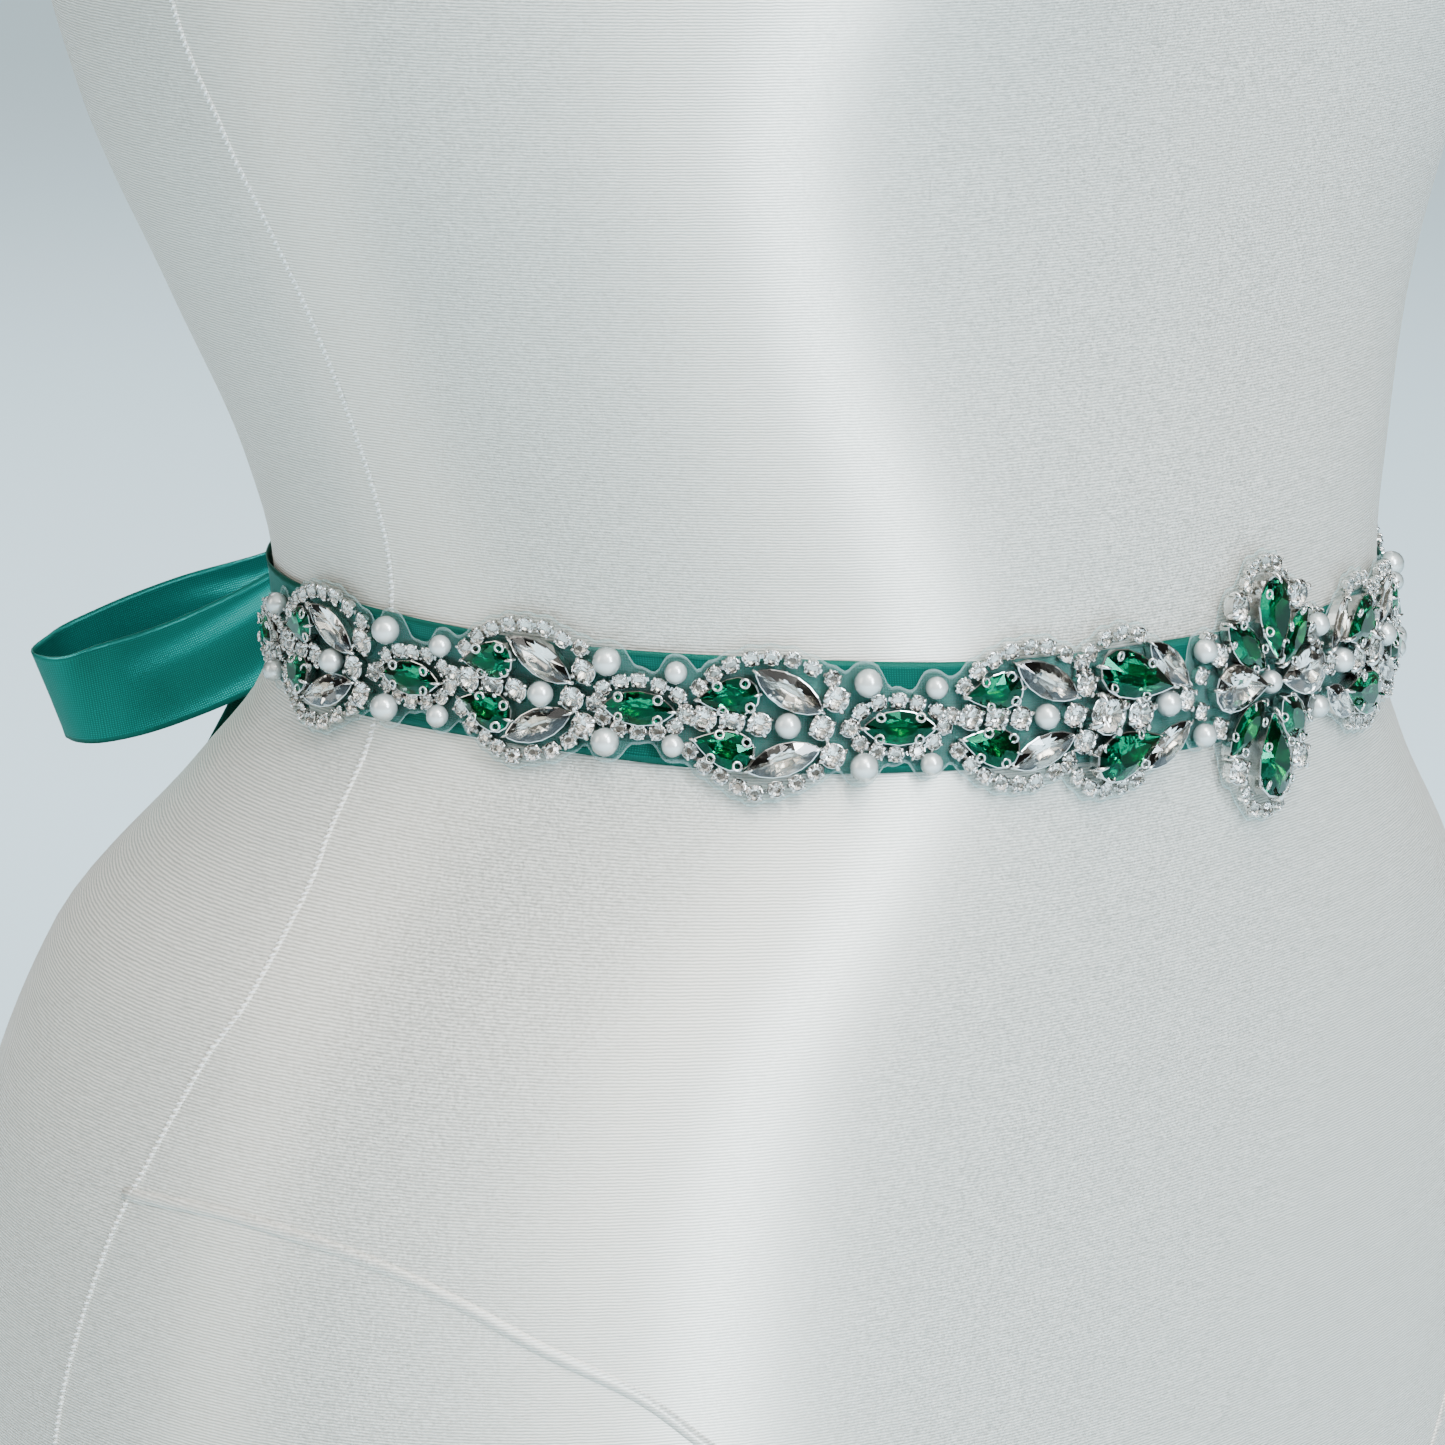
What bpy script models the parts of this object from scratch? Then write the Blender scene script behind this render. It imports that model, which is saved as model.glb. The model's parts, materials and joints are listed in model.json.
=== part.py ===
# A satin bridal sash with a crystal and pearl applique, tied round a limbless dress form.
# Metres in Blender, millimetres in the code. The front faces -Y and +Z is up.
# The origin is the centre of the form's flat base.

import bpy
import numpy as np
from mathutils import Vector
from mathutils.geometry import delaunay_2d_cdt

for old in list(bpy.data.objects):
    bpy.data.objects.remove(old)

# Sizes of the form and the ribbon

WAIST_Z = 300.0  # height of the waist above the base
COLUMNS = 56
FRONT_N, BACK_N = 2.16, 2.1  # how square the two halves of the waist are
# z from the waist, half width, depth to the front, depth to the back, and how
# square the front half of the section is, 2 being an ellipse
FORM = (
    (-300, 153, 113, 113, 2.2),
    (-297, 156, 116, 116, 2.2),
    (-250, 162, 115, 126, 2.2),
    (-200, 167, 114, 133, 2.16),
    (-160, 168, 113, 135, 2.16),
    (-130, 167, 112.3, 134, 2.16),
    (-95, 163, 111.2, 130, 2.16),
    (-60, 150, 109, 118, 2.16),
    (-30, 124, 106.4, 93.5, 2.16),
    (-12, 111.6, 105.4, 79.6, 2.16),
    (0, 109, 105.1, 75.9, 2.16),
    (12, 109.8, 104.3, 76.7, 2.16),
    (30, 115, 103.4, 80.6, 2.16),
    (60, 128.5, 100.4, 93, 2.2),
    (95, 145, 100, 106, 2.3),
    (130, 155, 101, 113, 2.45),
    (168, 159, 103, 117, 2.6),
    (205, 157, 102, 114, 2.6),
    (240, 155, 93, 110, 2.5),
    (275, 159, 78, 104, 2.4),
    (305, 164, 64, 96, 2.3),
    (325, 162, 55, 87, 2.2),
    (342, 148, 49, 79, 2.1),
    (357, 122, 46, 73, 2.1),
    (372, 92, 46, 67, 2.1),
    (386, 69, 48, 62, 2.1),
    (400, 58, 49, 58, 2.1),
    (424, 54, 47, 55, 2.1),
    (446, 54, 46, 55, 2.1),
)
# The rows of the solid, closer together where the ribbon lies
ROWS = (
    -300, -297, -250, -205, -165, -130, -100, -75, -55, -38, -25, -15, -10, -5, 0,
    5, 10, 15, 25, 38, 54, 72, 92, 112, 132, 152, 172, 192, 214, 240, 268, 292,
    312, 328, 342, 356, 370, 384, 400, 422, 444,
)  # fmt: skip
BUST = {"x": 74, "z": 166, "wide": 41, "high": 46, "out": 22}

RING = (111.2, 107.3, 78.1)  # half width, front, back of the curve the sash is laid on
TILT_Y, TILT_X = 0.0266, -0.0097  # the sash sits lower in front
RIBBON = 19.0  # ribbon width
WALL = 1.0
ON_FORM = 0.5  # gap from the form to the ribbon
ON_RIBBON = 0.4  # gap from the ribbon to the applique

# Curves


def through(xs, ys, x):
    """A smooth curve through the rows of a table that never overshoots them."""
    xs, ys, x = (np.asarray(v, float) for v in (xs, ys, x))
    step, rise = np.diff(xs), np.diff(ys) / np.diff(xs)
    slope = np.zeros_like(ys)
    same = rise[1:] * rise[:-1] > 0
    w1, w2 = 2 * step[1:] + step[:-1], step[1:] + 2 * step[:-1]
    safe = [np.where(same, r, 1) for r in (rise[:-1], rise[1:])]
    slope[1:-1] = np.where(same, (w1 + w2) / (w1 / safe[0] + w2 / safe[1]), 0)
    slope[0], slope[-1] = rise[0], rise[-1]
    i = np.clip(np.searchsorted(xs, x) - 1, 0, len(step) - 1)
    h = step[i]
    t = np.clip((x - xs[i]) / h, 0, 1)
    return (
        ys[i] * (1 + 2 * t) * (1 - t) ** 2
        + h * slope[i] * t * (1 - t) ** 2
        + ys[i + 1] * t**2 * (3 - 2 * t)
        - h * slope[i + 1] * t**2 * (1 - t)
    )


def section(u, half, front, back, front_n=FRONT_N):
    """A point of a section: u is 0 at the front and runs to the form's right."""
    s, c = np.sin(u), np.cos(u)
    n = np.where(c > 0, front_n, BACK_N)
    x = -half * np.sign(s) * np.abs(s) ** (2 / n)
    y = -np.where(c > 0, front, back) * np.sign(c) * np.abs(c) ** (2 / n)
    return x, y


FORM_TABLE = np.array(FORM, float)


def form_point(u, z):
    """The form's surface at section angle u and height z from the waist."""
    u, z = np.broadcast_arrays(np.asarray(u, float), np.asarray(z, float))
    size = [through(FORM_TABLE[:, 0], FORM_TABLE[:, k], z) for k in (1, 2, 3, 4)]
    x, y = section(u, *size)
    across = (np.abs(x) - BUST["x"]) / BUST["wide"]
    up = (z - BUST["z"]) / BUST["high"]
    bump = BUST["out"] * np.exp(-(across**2) - up**2)
    y = y - bump * np.clip(np.cos(u) * 2, 0, 1)
    return np.stack([x, y, z], -1)


def skin(u, z, off):
    """A point at a distance off the form's surface, along its normal."""
    du, dz = 0.004, 0.4
    a = form_point(u + du, z) - form_point(u - du, z)
    b = form_point(u, z + dz) - form_point(u, z - dz)
    n = np.cross(b, a)
    n /= np.linalg.norm(n, axis=-1, keepdims=True)
    return form_point(u, z) + n * np.asarray(off, float)[..., None]


# Distances round the sash, in millimetres from the front centre to the form's right

_u = np.linspace(-np.pi, np.pi, 4001)
_x, _y = section(_u, *RING)
_s = np.concatenate([[0], np.cumsum(np.hypot(np.diff(_x), np.diff(_y)))])
GIRTH = _s[-1]
_s = _s - GIRTH / 2


def angle_at(s):
    return np.interp(s, _s, _u)


def height_at(s):
    """The centre line of the sash above the waist."""
    return TILT_Y * np.interp(s, _s, _y) + TILT_X * np.interp(s, _s, _x)


def laid(s, t, off):
    """A point of cloth laid on the form: s round it, t up, off its surface."""
    s, t, off = np.broadcast_arrays(*(np.asarray(v, float) for v in (s, t, off)))
    return skin(angle_at(s), height_at(s) + t, off)


# Making solids

SATIN_GREEN = (0.006, 0.09, 0.075)


def add(name, points, faces, colour, rough):
    points = (np.asarray(points, float) + (0, 0, WAIST_Z)) / 1000
    mesh = bpy.data.meshes.new(name)
    mesh.from_pydata([tuple(p) for p in points], [], [tuple(f) for f in faces])
    mesh.validate()
    material = bpy.data.materials.new(name)
    material.use_nodes = True
    shader = material.node_tree.nodes["Principled BSDF"]
    shader.inputs["Base Color"].default_value = (*colour, 1)
    shader.inputs["Roughness"].default_value = rough
    shader.inputs["Metallic"].default_value = 0.0
    mesh.materials.append(material)
    made = bpy.data.objects.new(name, mesh)
    bpy.context.scene.collection.objects.link(made)


def wall_faces(rows, cols, closed):
    """Faces of a wall from two grids of points, outer then inner. With closed,
    the last row meets the first."""
    faces, shift = [], rows * cols
    for i in range(rows if closed else rows - 1):
        j = (i + 1) % rows
        for k in range(cols - 1):
            a, b, c, d = i * cols + k, i * cols + k + 1, j * cols + k + 1, j * cols + k
            faces += [(a, b, c, d), (d + shift, c + shift, b + shift, a + shift)]
        a, d = i * cols, j * cols
        faces.append((a, d, d + shift, a + shift))
        a, d = a + cols - 1, d + cols - 1
        faces.append((d, a, a + shift, d + shift))
    if not closed:
        for i, turn in ((0, 1), (rows - 1, -1)):
            for k in range(cols - 1):
                a, b = i * cols + k, i * cols + k + 1
                faces.append((b, a, a + shift, b + shift)[::turn])
    return faces


def wall(name, outer, inner, closed=False):
    """A wall of satin ribbon between two grids of points."""
    rows, cols = outer.shape[:2]
    points = np.concatenate([outer.reshape(-1, 3), inner.reshape(-1, 3)])
    add(name, points, wall_faces(rows, cols, closed), SATIN_GREEN, 0.3)


# The dress form


def build_form():
    u = angle_at(np.arange(COLUMNS) * GIRTH / COLUMNS - GIRTH / 2)
    rings = [form_point(u, np.full_like(u, z)) for z in ROWS]
    top = rings[-1] * (0.72, 0.72, 1) + (0, 0.5, 3.0)
    points = np.concatenate([*rings, top, [(0, 1.5, 448.5)], [(0, 0, -300)]])
    faces, n = [], COLUMNS
    for i in range(len(ROWS)):
        for k in range(n):
            a, b = i * n + k, i * n + (k + 1) % n
            faces.append((a, a + n, b + n, b))
    crown, base = len(points) - 2, len(points) - 1
    for k in range(n):
        a, b = len(ROWS) * n + k, len(ROWS) * n + (k + 1) % n
        faces += [(a, crown, b), (k, (k + 1) % n, base)]
    add("dress_form", points, faces, (0.82, 0.81, 0.78), 0.6)


# The ribbon round the waist


def build_band():
    ends = GIRTH / 2 - 1.2
    grid = np.arange(COLUMNS + 1) * GIRTH / COLUMNS - GIRTH / 2
    s = np.clip(grid, -ends, ends)[:, None]
    t = np.linspace(-RIBBON / 2, RIBBON / 2, 5)[None, :]
    ripple = 0.22 * (t / 9.5) ** 2 * (1 + np.sin(s / 7.3 + 1.2 * np.sign(t)))
    off = ON_FORM + ripple * np.clip((np.abs(s) - 222) / 20, 0, 1)
    wall("ribbon_band", laid(s, t, off + WALL), laid(s, t, off))


# The bow: strips of ribbon along a line through the stations of a table


def clear_of_back(grid, gap):
    """Moves cloth that hangs behind the form out until it clears the hips."""
    x, z = grid[..., 0], grid[..., 2]
    half, back = (through(FORM_TABLE[:, 0], FORM_TABLE[:, k], z) for k in (1, 3))
    depth = back * (1 - (np.abs(x) / half) ** BACK_N) ** (1 / BACK_N) + gap
    over = depth - grid[..., 1]
    soft = 0.5 * (over + np.sqrt(over**2 + 1.2))
    grid[..., 1] += np.where(z < -20, soft, 0)
    return grid


def strip(name, stations, samples, waves, phase, mirror, cut=0.0, cols=7):
    """A ribbon through the stations of a table. Returns how long it is.

    Stations hold x, y, z of the middle, the half width, the way across the
    ribbon and the depth of its lengthwise folds.
    """
    table = np.array(stations, float)
    gone = np.linalg.norm(np.diff(table[:, :3], axis=0), axis=1)
    along = np.concatenate([[0], np.cumsum(gone)])
    # evenly spaced samples on a curve that may turn back, so each column is splined
    at = np.linspace(0, along[-1], samples)
    tangents = np.gradient(table[:, :7], along, axis=0)
    i = np.clip(np.searchsorted(along, at) - 1, 0, len(along) - 2)
    h = (along[i + 1] - along[i])[:, None]
    f = ((at - along[i]) / h[:, 0])[:, None]
    rows = (
        table[i, :7] * (1 + 2 * f) * (1 - f) ** 2
        + h * tangents[i] * f * (1 - f) ** 2
        + table[i + 1, :7] * f**2 * (3 - 2 * f)
        - h * tangents[i + 1] * f**2 * (1 - f)
    )
    fold = np.interp(at, along, table[:, 7])[:, None]
    middle = rows[:, :3]
    tangent = np.gradient(middle, at, axis=0)
    tangent /= np.linalg.norm(tangent, axis=1, keepdims=True)
    across = rows[:, 4:7] - tangent * (rows[:, 4:7] * tangent).sum(1, keepdims=True)
    across /= np.linalg.norm(across, axis=1, keepdims=True)
    out = np.cross(tangent, across)
    v = np.linspace(-1, 1, cols)[None, :]
    bend = fold * np.cos(np.pi * waves * v + phase + at[:, None] * 0.035)
    grid = (
        middle[:, None]
        + across[:, None] * (rows[:, 3:4] * v)[..., None]
        + out[:, None] * bend[..., None]
    )
    grid[-1] += tangent[-1] * (cut * v[0])[:, None]
    if cut:
        grid = clear_of_back(grid, 1.7)
    # the wall stands square to the folded surface
    along_v = np.gradient(grid, axis=1)
    along_s = np.gradient(grid, axis=0)
    n = np.cross(along_s, along_v)
    n /= np.linalg.norm(n, axis=2, keepdims=True)
    outer, inner = grid + n * WALL / 2, grid - n * WALL / 2
    if mirror:
        outer, inner = inner * (-1, 1, 1), outer * (-1, 1, 1)
    wall(name, inner, outer)
    return along[-1]


# x, y, z, half width, across x, y, z, fold
LOOP = (
    (-2.4, 82.2, 1.2, 6.2, 0, 0, 1, 0.35),
    (-11.0, 82.6, 0.6, 6.2, 0, 0.05, 1, 0.4),
    (-24, 87.8, -7.0, 8.9, -0.2, 0.25, 1, 0.8),
    (-44, 95.4, -17.6, 9.5, -0.25, 0.35, 1, 0.5),
    (-61.5, 101.4, -23.6, 9.5, -0.3, 0.35, 1, 0.3),
    (-74.1, 104.2, -25.6, 9.5, -0.27, 0.26, 1, 0.1),
    (-81.4, 109.9, -27.2, 9.5, -0.39, -0.03, 1, 0),
    (-81.0, 115.1, -27.2, 9.5, -0.42, 0.09, 1, 0),
    (-73.9, 119.8, -26.0, 9.5, -0.16, 0.1, 1, 0.1),
    (-60.5, 119.6, -22.6, 9.5, -0.2, 0.05, 1, 0.3),
    (-44, 116.4, -19.0, 9.5, -0.15, 0.05, 1, 0.6),
    (-26, 107.5, -14.0, 8.9, -0.15, 0.05, 1, 0.9),
    (-11.5, 91.2, -0.4, 6.2, 0, 0, 1, 0.4),
    (-2.4, 90.6, 1.2, 6.2, 0, 0, 1, 0.35),
)
# The middle of a tail from the knot down to its cut end
TAIL = (
    (-2.4, 86.3, 0.0, 6.0, -0.1, 0, 1, 0.3),
    (-10.5, 86.8, -0.8, 5.9, -0.2, 0, 1, 0.4),
    (-19.5, 91.6, -9.5, 7.8, -0.55, 0.1, 0.8, 0.7),
    (-28, 98.5, -22, 9.3, -0.85, 0.1, 0.5, 0.8),
    (-35.5, 105.5, -38, 9.5, -1, 0, 0.2, 0.7),
    (-41, 113.5, -56, 9.5, -1, 0, 0.1, 0.6),
    (-45.5, 122, -80, 9.5, -1, 0, 0, 0.5),
    (-49, 130.5, -115, 9.5, -1, -0.05, 0, 0.6),
    (-50.5, 135.5, -155, 9.5, -1, -0.08, 0, 0.9),
    (-51.5, 137.5, -200, 9.5, -1, -0.05, 0, 1.2),
    (-52.5, 138.5, -245, 9.5, -1, 0, 0, 1.6),
    (-53, 139.5, -283, 9.5, -1, 0, 0, 1.9),
)


def build_bow():
    for side, mirror in (("right", False), ("left", True)):
        loop = strip(f"bow_loop_{side}", LOOP, 34, 1.5, 0.4, mirror)
        tail = strip(f"tail_{side}", TAIL, 26, 1.25, 0.9, mirror, cut=4.0)
    # the wrap that holds the bow, a ring of ribbon round an axis along X
    turn = np.linspace(0, 2 * np.pi, 20, endpoint=False)[:, None]
    v = np.linspace(-1, 1, 7)[None, :]
    bulge = 1.6 * (1 - v**2) + 0.45 * np.cos(3 * np.pi * v + 0.6 * np.sin(2 * turn))
    front = np.clip(np.sin(turn) + 0.3, 0, 1)

    def ring(more):
        c, s = np.cos(turn), np.sin(turn)
        deep = 7.7 + more + bulge * front
        high = 10.6 + more + 0.5 * bulge
        y = 87.0 + deep * np.sign(s) * np.abs(s) ** (2 / 2.8)
        z = 1.6 + high * np.sign(c) * np.abs(c) ** (2 / 2.8)
        x = v * (8.6 + 0.5 * np.cos(2 * turn + 0.5)) + 0 * turn
        return np.stack([x, y, z], -1)

    wall("knot_wrap", ring(1.1), ring(0), closed=True)
    return loop, tail


# The applique, drawn flat: s to the front centre along the sash, t up, from a pearl
# kinds: round (long = wide), pearl, navette pointed at both ends, pear from its
# round end to its tip, both given as the ends of the stone

CLUSTER = (
    # kind, s, t, to s, to t, wide, high
    ("pearl", 0, 0, 0, 0, 4.6, 3.2),
    ("round", -13.9, 0.5, 0, 0, 4.0, 1.4),
    ("round", -9.2, 0.3, 0, 0, 4.0, 1.4),
    ("round", -4.7, 0.0, 0, 0, 4.0, 1.4),
    ("pear", -4.9, 5.6, -14.6, 3.9, 5.2, 1.6),
    ("pear", -5.2, -5.7, -15.0, -3.4, 5.2, 1.6),
    ("navette", -4.9, 9.4, 5.4, 2.9, 4.8, 1.6),
    ("navette", -5.2, -8.7, 5.3, -3.4, 4.8, 1.6),
    ("round", 7.9, 4.9, 0, 0, 4.0, 1.4),
    ("round", 5.5, -0.2, 0, 0, 4.0, 1.4),
    ("round", 7.9, -5.0, 0, 0, 4.0, 1.4),
)
LINK = (
    ("navette", -5.9, 0, 5.9, 0, 5.4, 1.6),
    ("pearl", -5.2, 7.8, 0, 0, 5.0, 3.6),
    ("pearl", 6.4, 6.8, 0, 0, 4.0, 2.6),
    ("pearl", -5.2, -6.8, 0, 0, 5.0, 3.6),
    ("pearl", 6.2, -6.3, 0, 0, 4.0, 2.6),
)
SHOULDER = (
    ("pearl", 0, 0, 0, 0, 5.0, 3.6),
    ("round", -13.7, -0.4, 0, 0, 7.0, 2.6),
    ("round", -6.4, -1.1, 0, 0, 5.6, 2.0),
    ("round", 4.6, 0.2, 0, 0, 4.0, 1.4),
    ("pear", -14.6, 7.4, -0.4, 3.4, 6.4, 1.9),
    ("pear", -15.8, -9.4, -1.0, -5.6, 6.4, 1.9),
    ("navette", -3.8, 10.3, 4.8, 3.0, 4.6, 1.6),
    ("navette", -4.2, -10.6, 5.6, -4.1, 4.6, 1.6),
    ("pearl", 9.2, 7.8, 0, 0, 4.4, 3.0),
    ("pearl", 9.4, -6.8, 0, 0, 4.4, 3.0),
)
FLOWER = (
    ("pearl", 0, 0, 0, 0, 4.6, 3.6),
    ("pear", 0, 18.2, 0, 4.8, 8.2, 2.0),
    ("pear", 0, -20.0, 0, -6.0, 8.2, 2.0),
    ("pear", 15.6, 0.8, 3.3, 0, 7.4, 1.9),
    ("pear", -15.6, 0.8, -3.3, 0, 7.4, 1.9),
    ("navette", -12.4, 11.2, -2.2, 3.0, 5.8, 1.7),
    ("navette", 12.4, 11.2, 2.2, 3.0, 5.8, 1.7),
    ("navette", -11.6, -11.2, -2.2, -3.4, 5.8, 1.7),
    ("navette", 11.6, -11.2, 2.2, -3.4, 5.8, 1.7),
    ("round", -8.8, 14.2, 0, 0, 5.0, 1.7),
    ("round", 8.8, 14.2, 0, 0, 5.0, 1.7),
    ("round", -14.2, 6.2, 0, 0, 4.0, 1.4),
    ("round", 14.2, 6.2, 0, 0, 4.0, 1.4),
    ("round", -8.9, -14.6, 0, 0, 4.4, 1.5),
    ("round", 8.9, -14.6, 0, 0, 4.4, 1.5),
)
# Chains of small stones, as the line that they stand on
CHAINS = {
    "cluster": (
        ((-14.8, 5.9), (-11.8, 8.7), (-7.8, 10.8), (-3.4, 11.6), (0.9, 11.6), (4.3, 10.1),
         (7.0, 7.9)),
        ((-15.6, -5.4), (-12.5, -8.2), (-8.6, -9.9), (-4.9, -11.1), (-1.0, -10.9),
         (2.8, -9.5), (5.6, -7.9)),
    ),
    "shoulder": (
        ((-15.8, 10.4), (-12.8, 12.4), (-8.8, 13.2), (-5.7, 12.2)),
        ((-19.9, -8.5), (-17.2, -12.0), (-13.2, -13.8), (-8.5, -13.2), (-5.1, -12.0)),
    ),
    "flower": (
        ((-4.9, 18.9), (-2.0, 20.9), (2.0, 20.9), (4.9, 18.9)),
        ((-4.9, -20.8), (-2.0, -22.7), (2.0, -22.7), (4.9, -20.8)),
    ),
    "link": (),
}  # fmt: skip
# Where the middle of each unit is sewn; all but the flower have a twin on the left
PLACES = (
    ("flower", -1.2, -0.4),
    ("shoulder", 26.1, -0.5),
    ("cluster", 51.5, -0.5),
    ("link", 77.7, -1.5),
    ("cluster", 96.2, -1.5),
    ("link", 121.0, 0.0),
    ("cluster", 138.4, 0.6),
    ("link", 164.4, -0.6),
    ("cluster", 183.6, -1.1),
    ("link", 209.6, -1.6),
)
UNITS = {"flower": FLOWER, "shoulder": SHOULDER, "cluster": CLUSTER, "link": LINK}


def all_stones():
    """Every raised stone on the sash: kind, ends, width, height."""
    rows = []
    for unit, place, up in PLACES:
        for side in (1,) if unit == "flower" else (1, -1):
            for kind, s, t, to_s, to_t, wide, high in UNITS[unit]:
                if place > 200 and kind == "pearl" and s < 0:
                    continue  # the last link ends without its outer pearls
                ends = side * (place - s), up + t, side * (place - to_s), up + to_t
                rows.append((kind, *ends, wide, high))
    return rows


def all_chains():
    lines = []
    for unit, place, up in PLACES:
        for side in (1,) if unit == "flower" else (1, -1):
            for line in CHAINS[unit]:
                lines.append([(side * (place - s), up + t) for s, t in line])
    return lines


def outline_of(kind, s, t, ps, pt, wide):
    """The outline of a stone, anticlockwise, and its middle."""
    if kind in ("round", "pearl"):
        a = np.arange(6) * np.pi / 3 + 0.3
        return np.stack([s + wide / 2 * np.cos(a), t + wide / 2 * np.sin(a)], -1)
    one, two = np.array([s, t], float), np.array([ps, pt], float)
    length = np.linalg.norm(two - one)
    ahead = (two - one) / length
    aside = np.array([-ahead[1], ahead[0]])
    if kind == "navette":
        shape = ((0, 0), (0.22, -0.39), (0.5, -0.5), (0.78, -0.39))
        shape += ((1, 0), (0.78, 0.39), (0.5, 0.5), (0.22, 0.39))
    else:
        r = wide / 2 / length
        shape = ((0, 0), (0.3 * r, -0.36), (r, -0.5), (0.6, -0.4))
        shape += ((1, 0), (0.6, 0.4), (r, 0.5), (0.3 * r, 0.36))
    return np.array([one + ahead * length * a + aside * wide * b for a, b in shape])


def edge_height(s, stones, chains, up):
    """How far the backing reaches above (up 1) or below (up -1) the middle."""
    marks = [outline_of(*stone[:6]) for stone in stones]
    marks = [(a + (b - a) * f) for m in marks for a, b in zip(m, np.roll(m, 1, 0))
             for f in (0, 0.5)]  # fmt: skip
    for line in chains:
        for x, y in line:
            a = np.arange(12) * np.pi / 6
            marks += list(np.stack([x + 1.6 * np.cos(a), y + 1.6 * np.sin(a)], -1))
    marks = np.array(marks)
    reach = np.full_like(s, 4.5)
    for i, here in enumerate(s):
        near = np.abs(marks[:, 0] - here) < 2.7
        if near.any():
            reach[i] = max(reach[i], (up * marks[near, 1]).max() + 0.9)
    return reach


def build_applique():
    stones, chains = all_stones(), all_chains()
    end = PLACES[-1][1] + 11.4
    s = np.linspace(-end, end, 2 * int(end / 2.6) + 1)
    top = edge_height(s, stones, chains, 1)
    low = -edge_height(s, stones, chains, -1)
    top[[0, -1]], low[[0, -1]] = 6.5, -6.5
    edge = [(a, b) for a, b in zip(s, low)] + [(a, b) for a, b in zip(s, top)][::-1]
    n_edge = len(edge)

    flat = [Vector(p) for p in edge]
    rise = [WALL] * n_edge
    lines = [(i, (i + 1) % n_edge) for i in range(n_edge)]

    def loop(points, height):
        first = len(flat)
        flat.extend(Vector(p) for p in points)
        rise.extend([height] * len(points))
        lines.extend(
            (first + i, first + (i + 1) % len(points)) for i in range(len(points))
        )

    for kind, a, t, pa, pt, w, h in stones:
        base = outline_of(kind, a, t, pa, pt, w)
        middle = base.mean(0)
        loop(base, WALL)
        if kind == "pearl":
            loop(middle + (base - middle) * 0.72, WALL + 0.78 * h)
            flat.append(Vector(middle))
            rise.append(WALL + h)
        else:
            loop(middle + (base - middle) * 0.66, WALL + h)

    points, _, faces, from_points, _, _ = delaunay_2d_cdt(flat, lines, [], 1, 1e-5)
    high = [max(rise[i] for i in came) if came else WALL for came in from_points]
    outer = laid([p[0] for p in points], [p[1] for p in points],
                 np.array(high) + ON_FORM + WALL + ON_RIBBON)  # fmt: skip
    # which of the points are the edge, in the order of the inside's edge
    where = {}
    for k, came in enumerate(from_points):
        for i in came:
            if i < n_edge:
                where[i] = k
    flipped = [f[::-1] if turned(points, f) else f for f in faces]

    # the plain inside shares the edge and has a row of points along its middle
    inside = [Vector(p) for p in edge]
    for a in np.arange(-end + 5, end - 4, 6.5):
        inside += [Vector((a, 0.0))]
    for a in (-13, -6.5, 0, 6.5, 13):
        inside += [Vector((a, 9.0)), Vector((a, -9.0))]
    rim = [(i, (i + 1) % n_edge) for i in range(n_edge)]
    points2, _, faces2, from2, _, _ = delaunay_2d_cdt(inside, rim, [], 1, 1e-5)
    inner = laid([p[0] for p in points2], [p[1] for p in points2],
                 ON_FORM + WALL + ON_RIBBON)  # fmt: skip
    shift = len(points)
    where2 = {i: k for k, came in enumerate(from2) for i in came}
    body = [tuple(f) for f in flipped]
    for f in faces2:
        f = f[::-1] if turned(points2, f) else f
        body.append(tuple(k + shift for k in f[::-1]))
    for i in range(n_edge):
        j = (i + 1) % n_edge
        body.append((where[j], where[i], where2[i] + shift, where2[j] + shift))
    # s runs to the form's right, which turns every face over
    body = [f[::-1] for f in body]
    add("applique", np.concatenate([outer, inner]), body, (0.62, 0.72, 0.7), 0.25)
    return len(stones)


def turned(points, face):
    a, b, c = (points[k] for k in face[:3])
    return (b[0] - a[0]) * (c[1] - a[1]) - (b[1] - a[1]) * (c[0] - a[0]) < 0


build_form()
build_band()
LOOP_LONG, TAIL_LONG = build_bow()
STONES = build_applique()
KNOT_LONG = 70.0
TOTAL = GIRTH + 2 * (LOOP_LONG + TAIL_LONG) + KNOT_LONG
print(f"sash line {GIRTH:.0f} mm, each loop {LOOP_LONG:.0f}, each tail {TAIL_LONG:.0f}")
print(f"ribbon in all {TOTAL:.0f} mm, raised stones {STONES}")
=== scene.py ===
# %% [markdown]
# # A satin bridal sash with a stone applique, on a dress form
#
# The real thing is a narrow emerald satin ribbon, tied in a bow at the back. A strip of
# net with stones sewn to it lies round the front. It is shown on a limbless dress form
# with a white jersey cover, and the form is what the sash stands on.
#
# We load the measured solids first, because every visible piece has to lie where they
# are. Then come the surface of the form, the finishes, the cloth and, last, the stones.

# %% Load the frame
import json

import bpy
import numpy as np
from mathutils import Euler, Matrix, Vector

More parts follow.
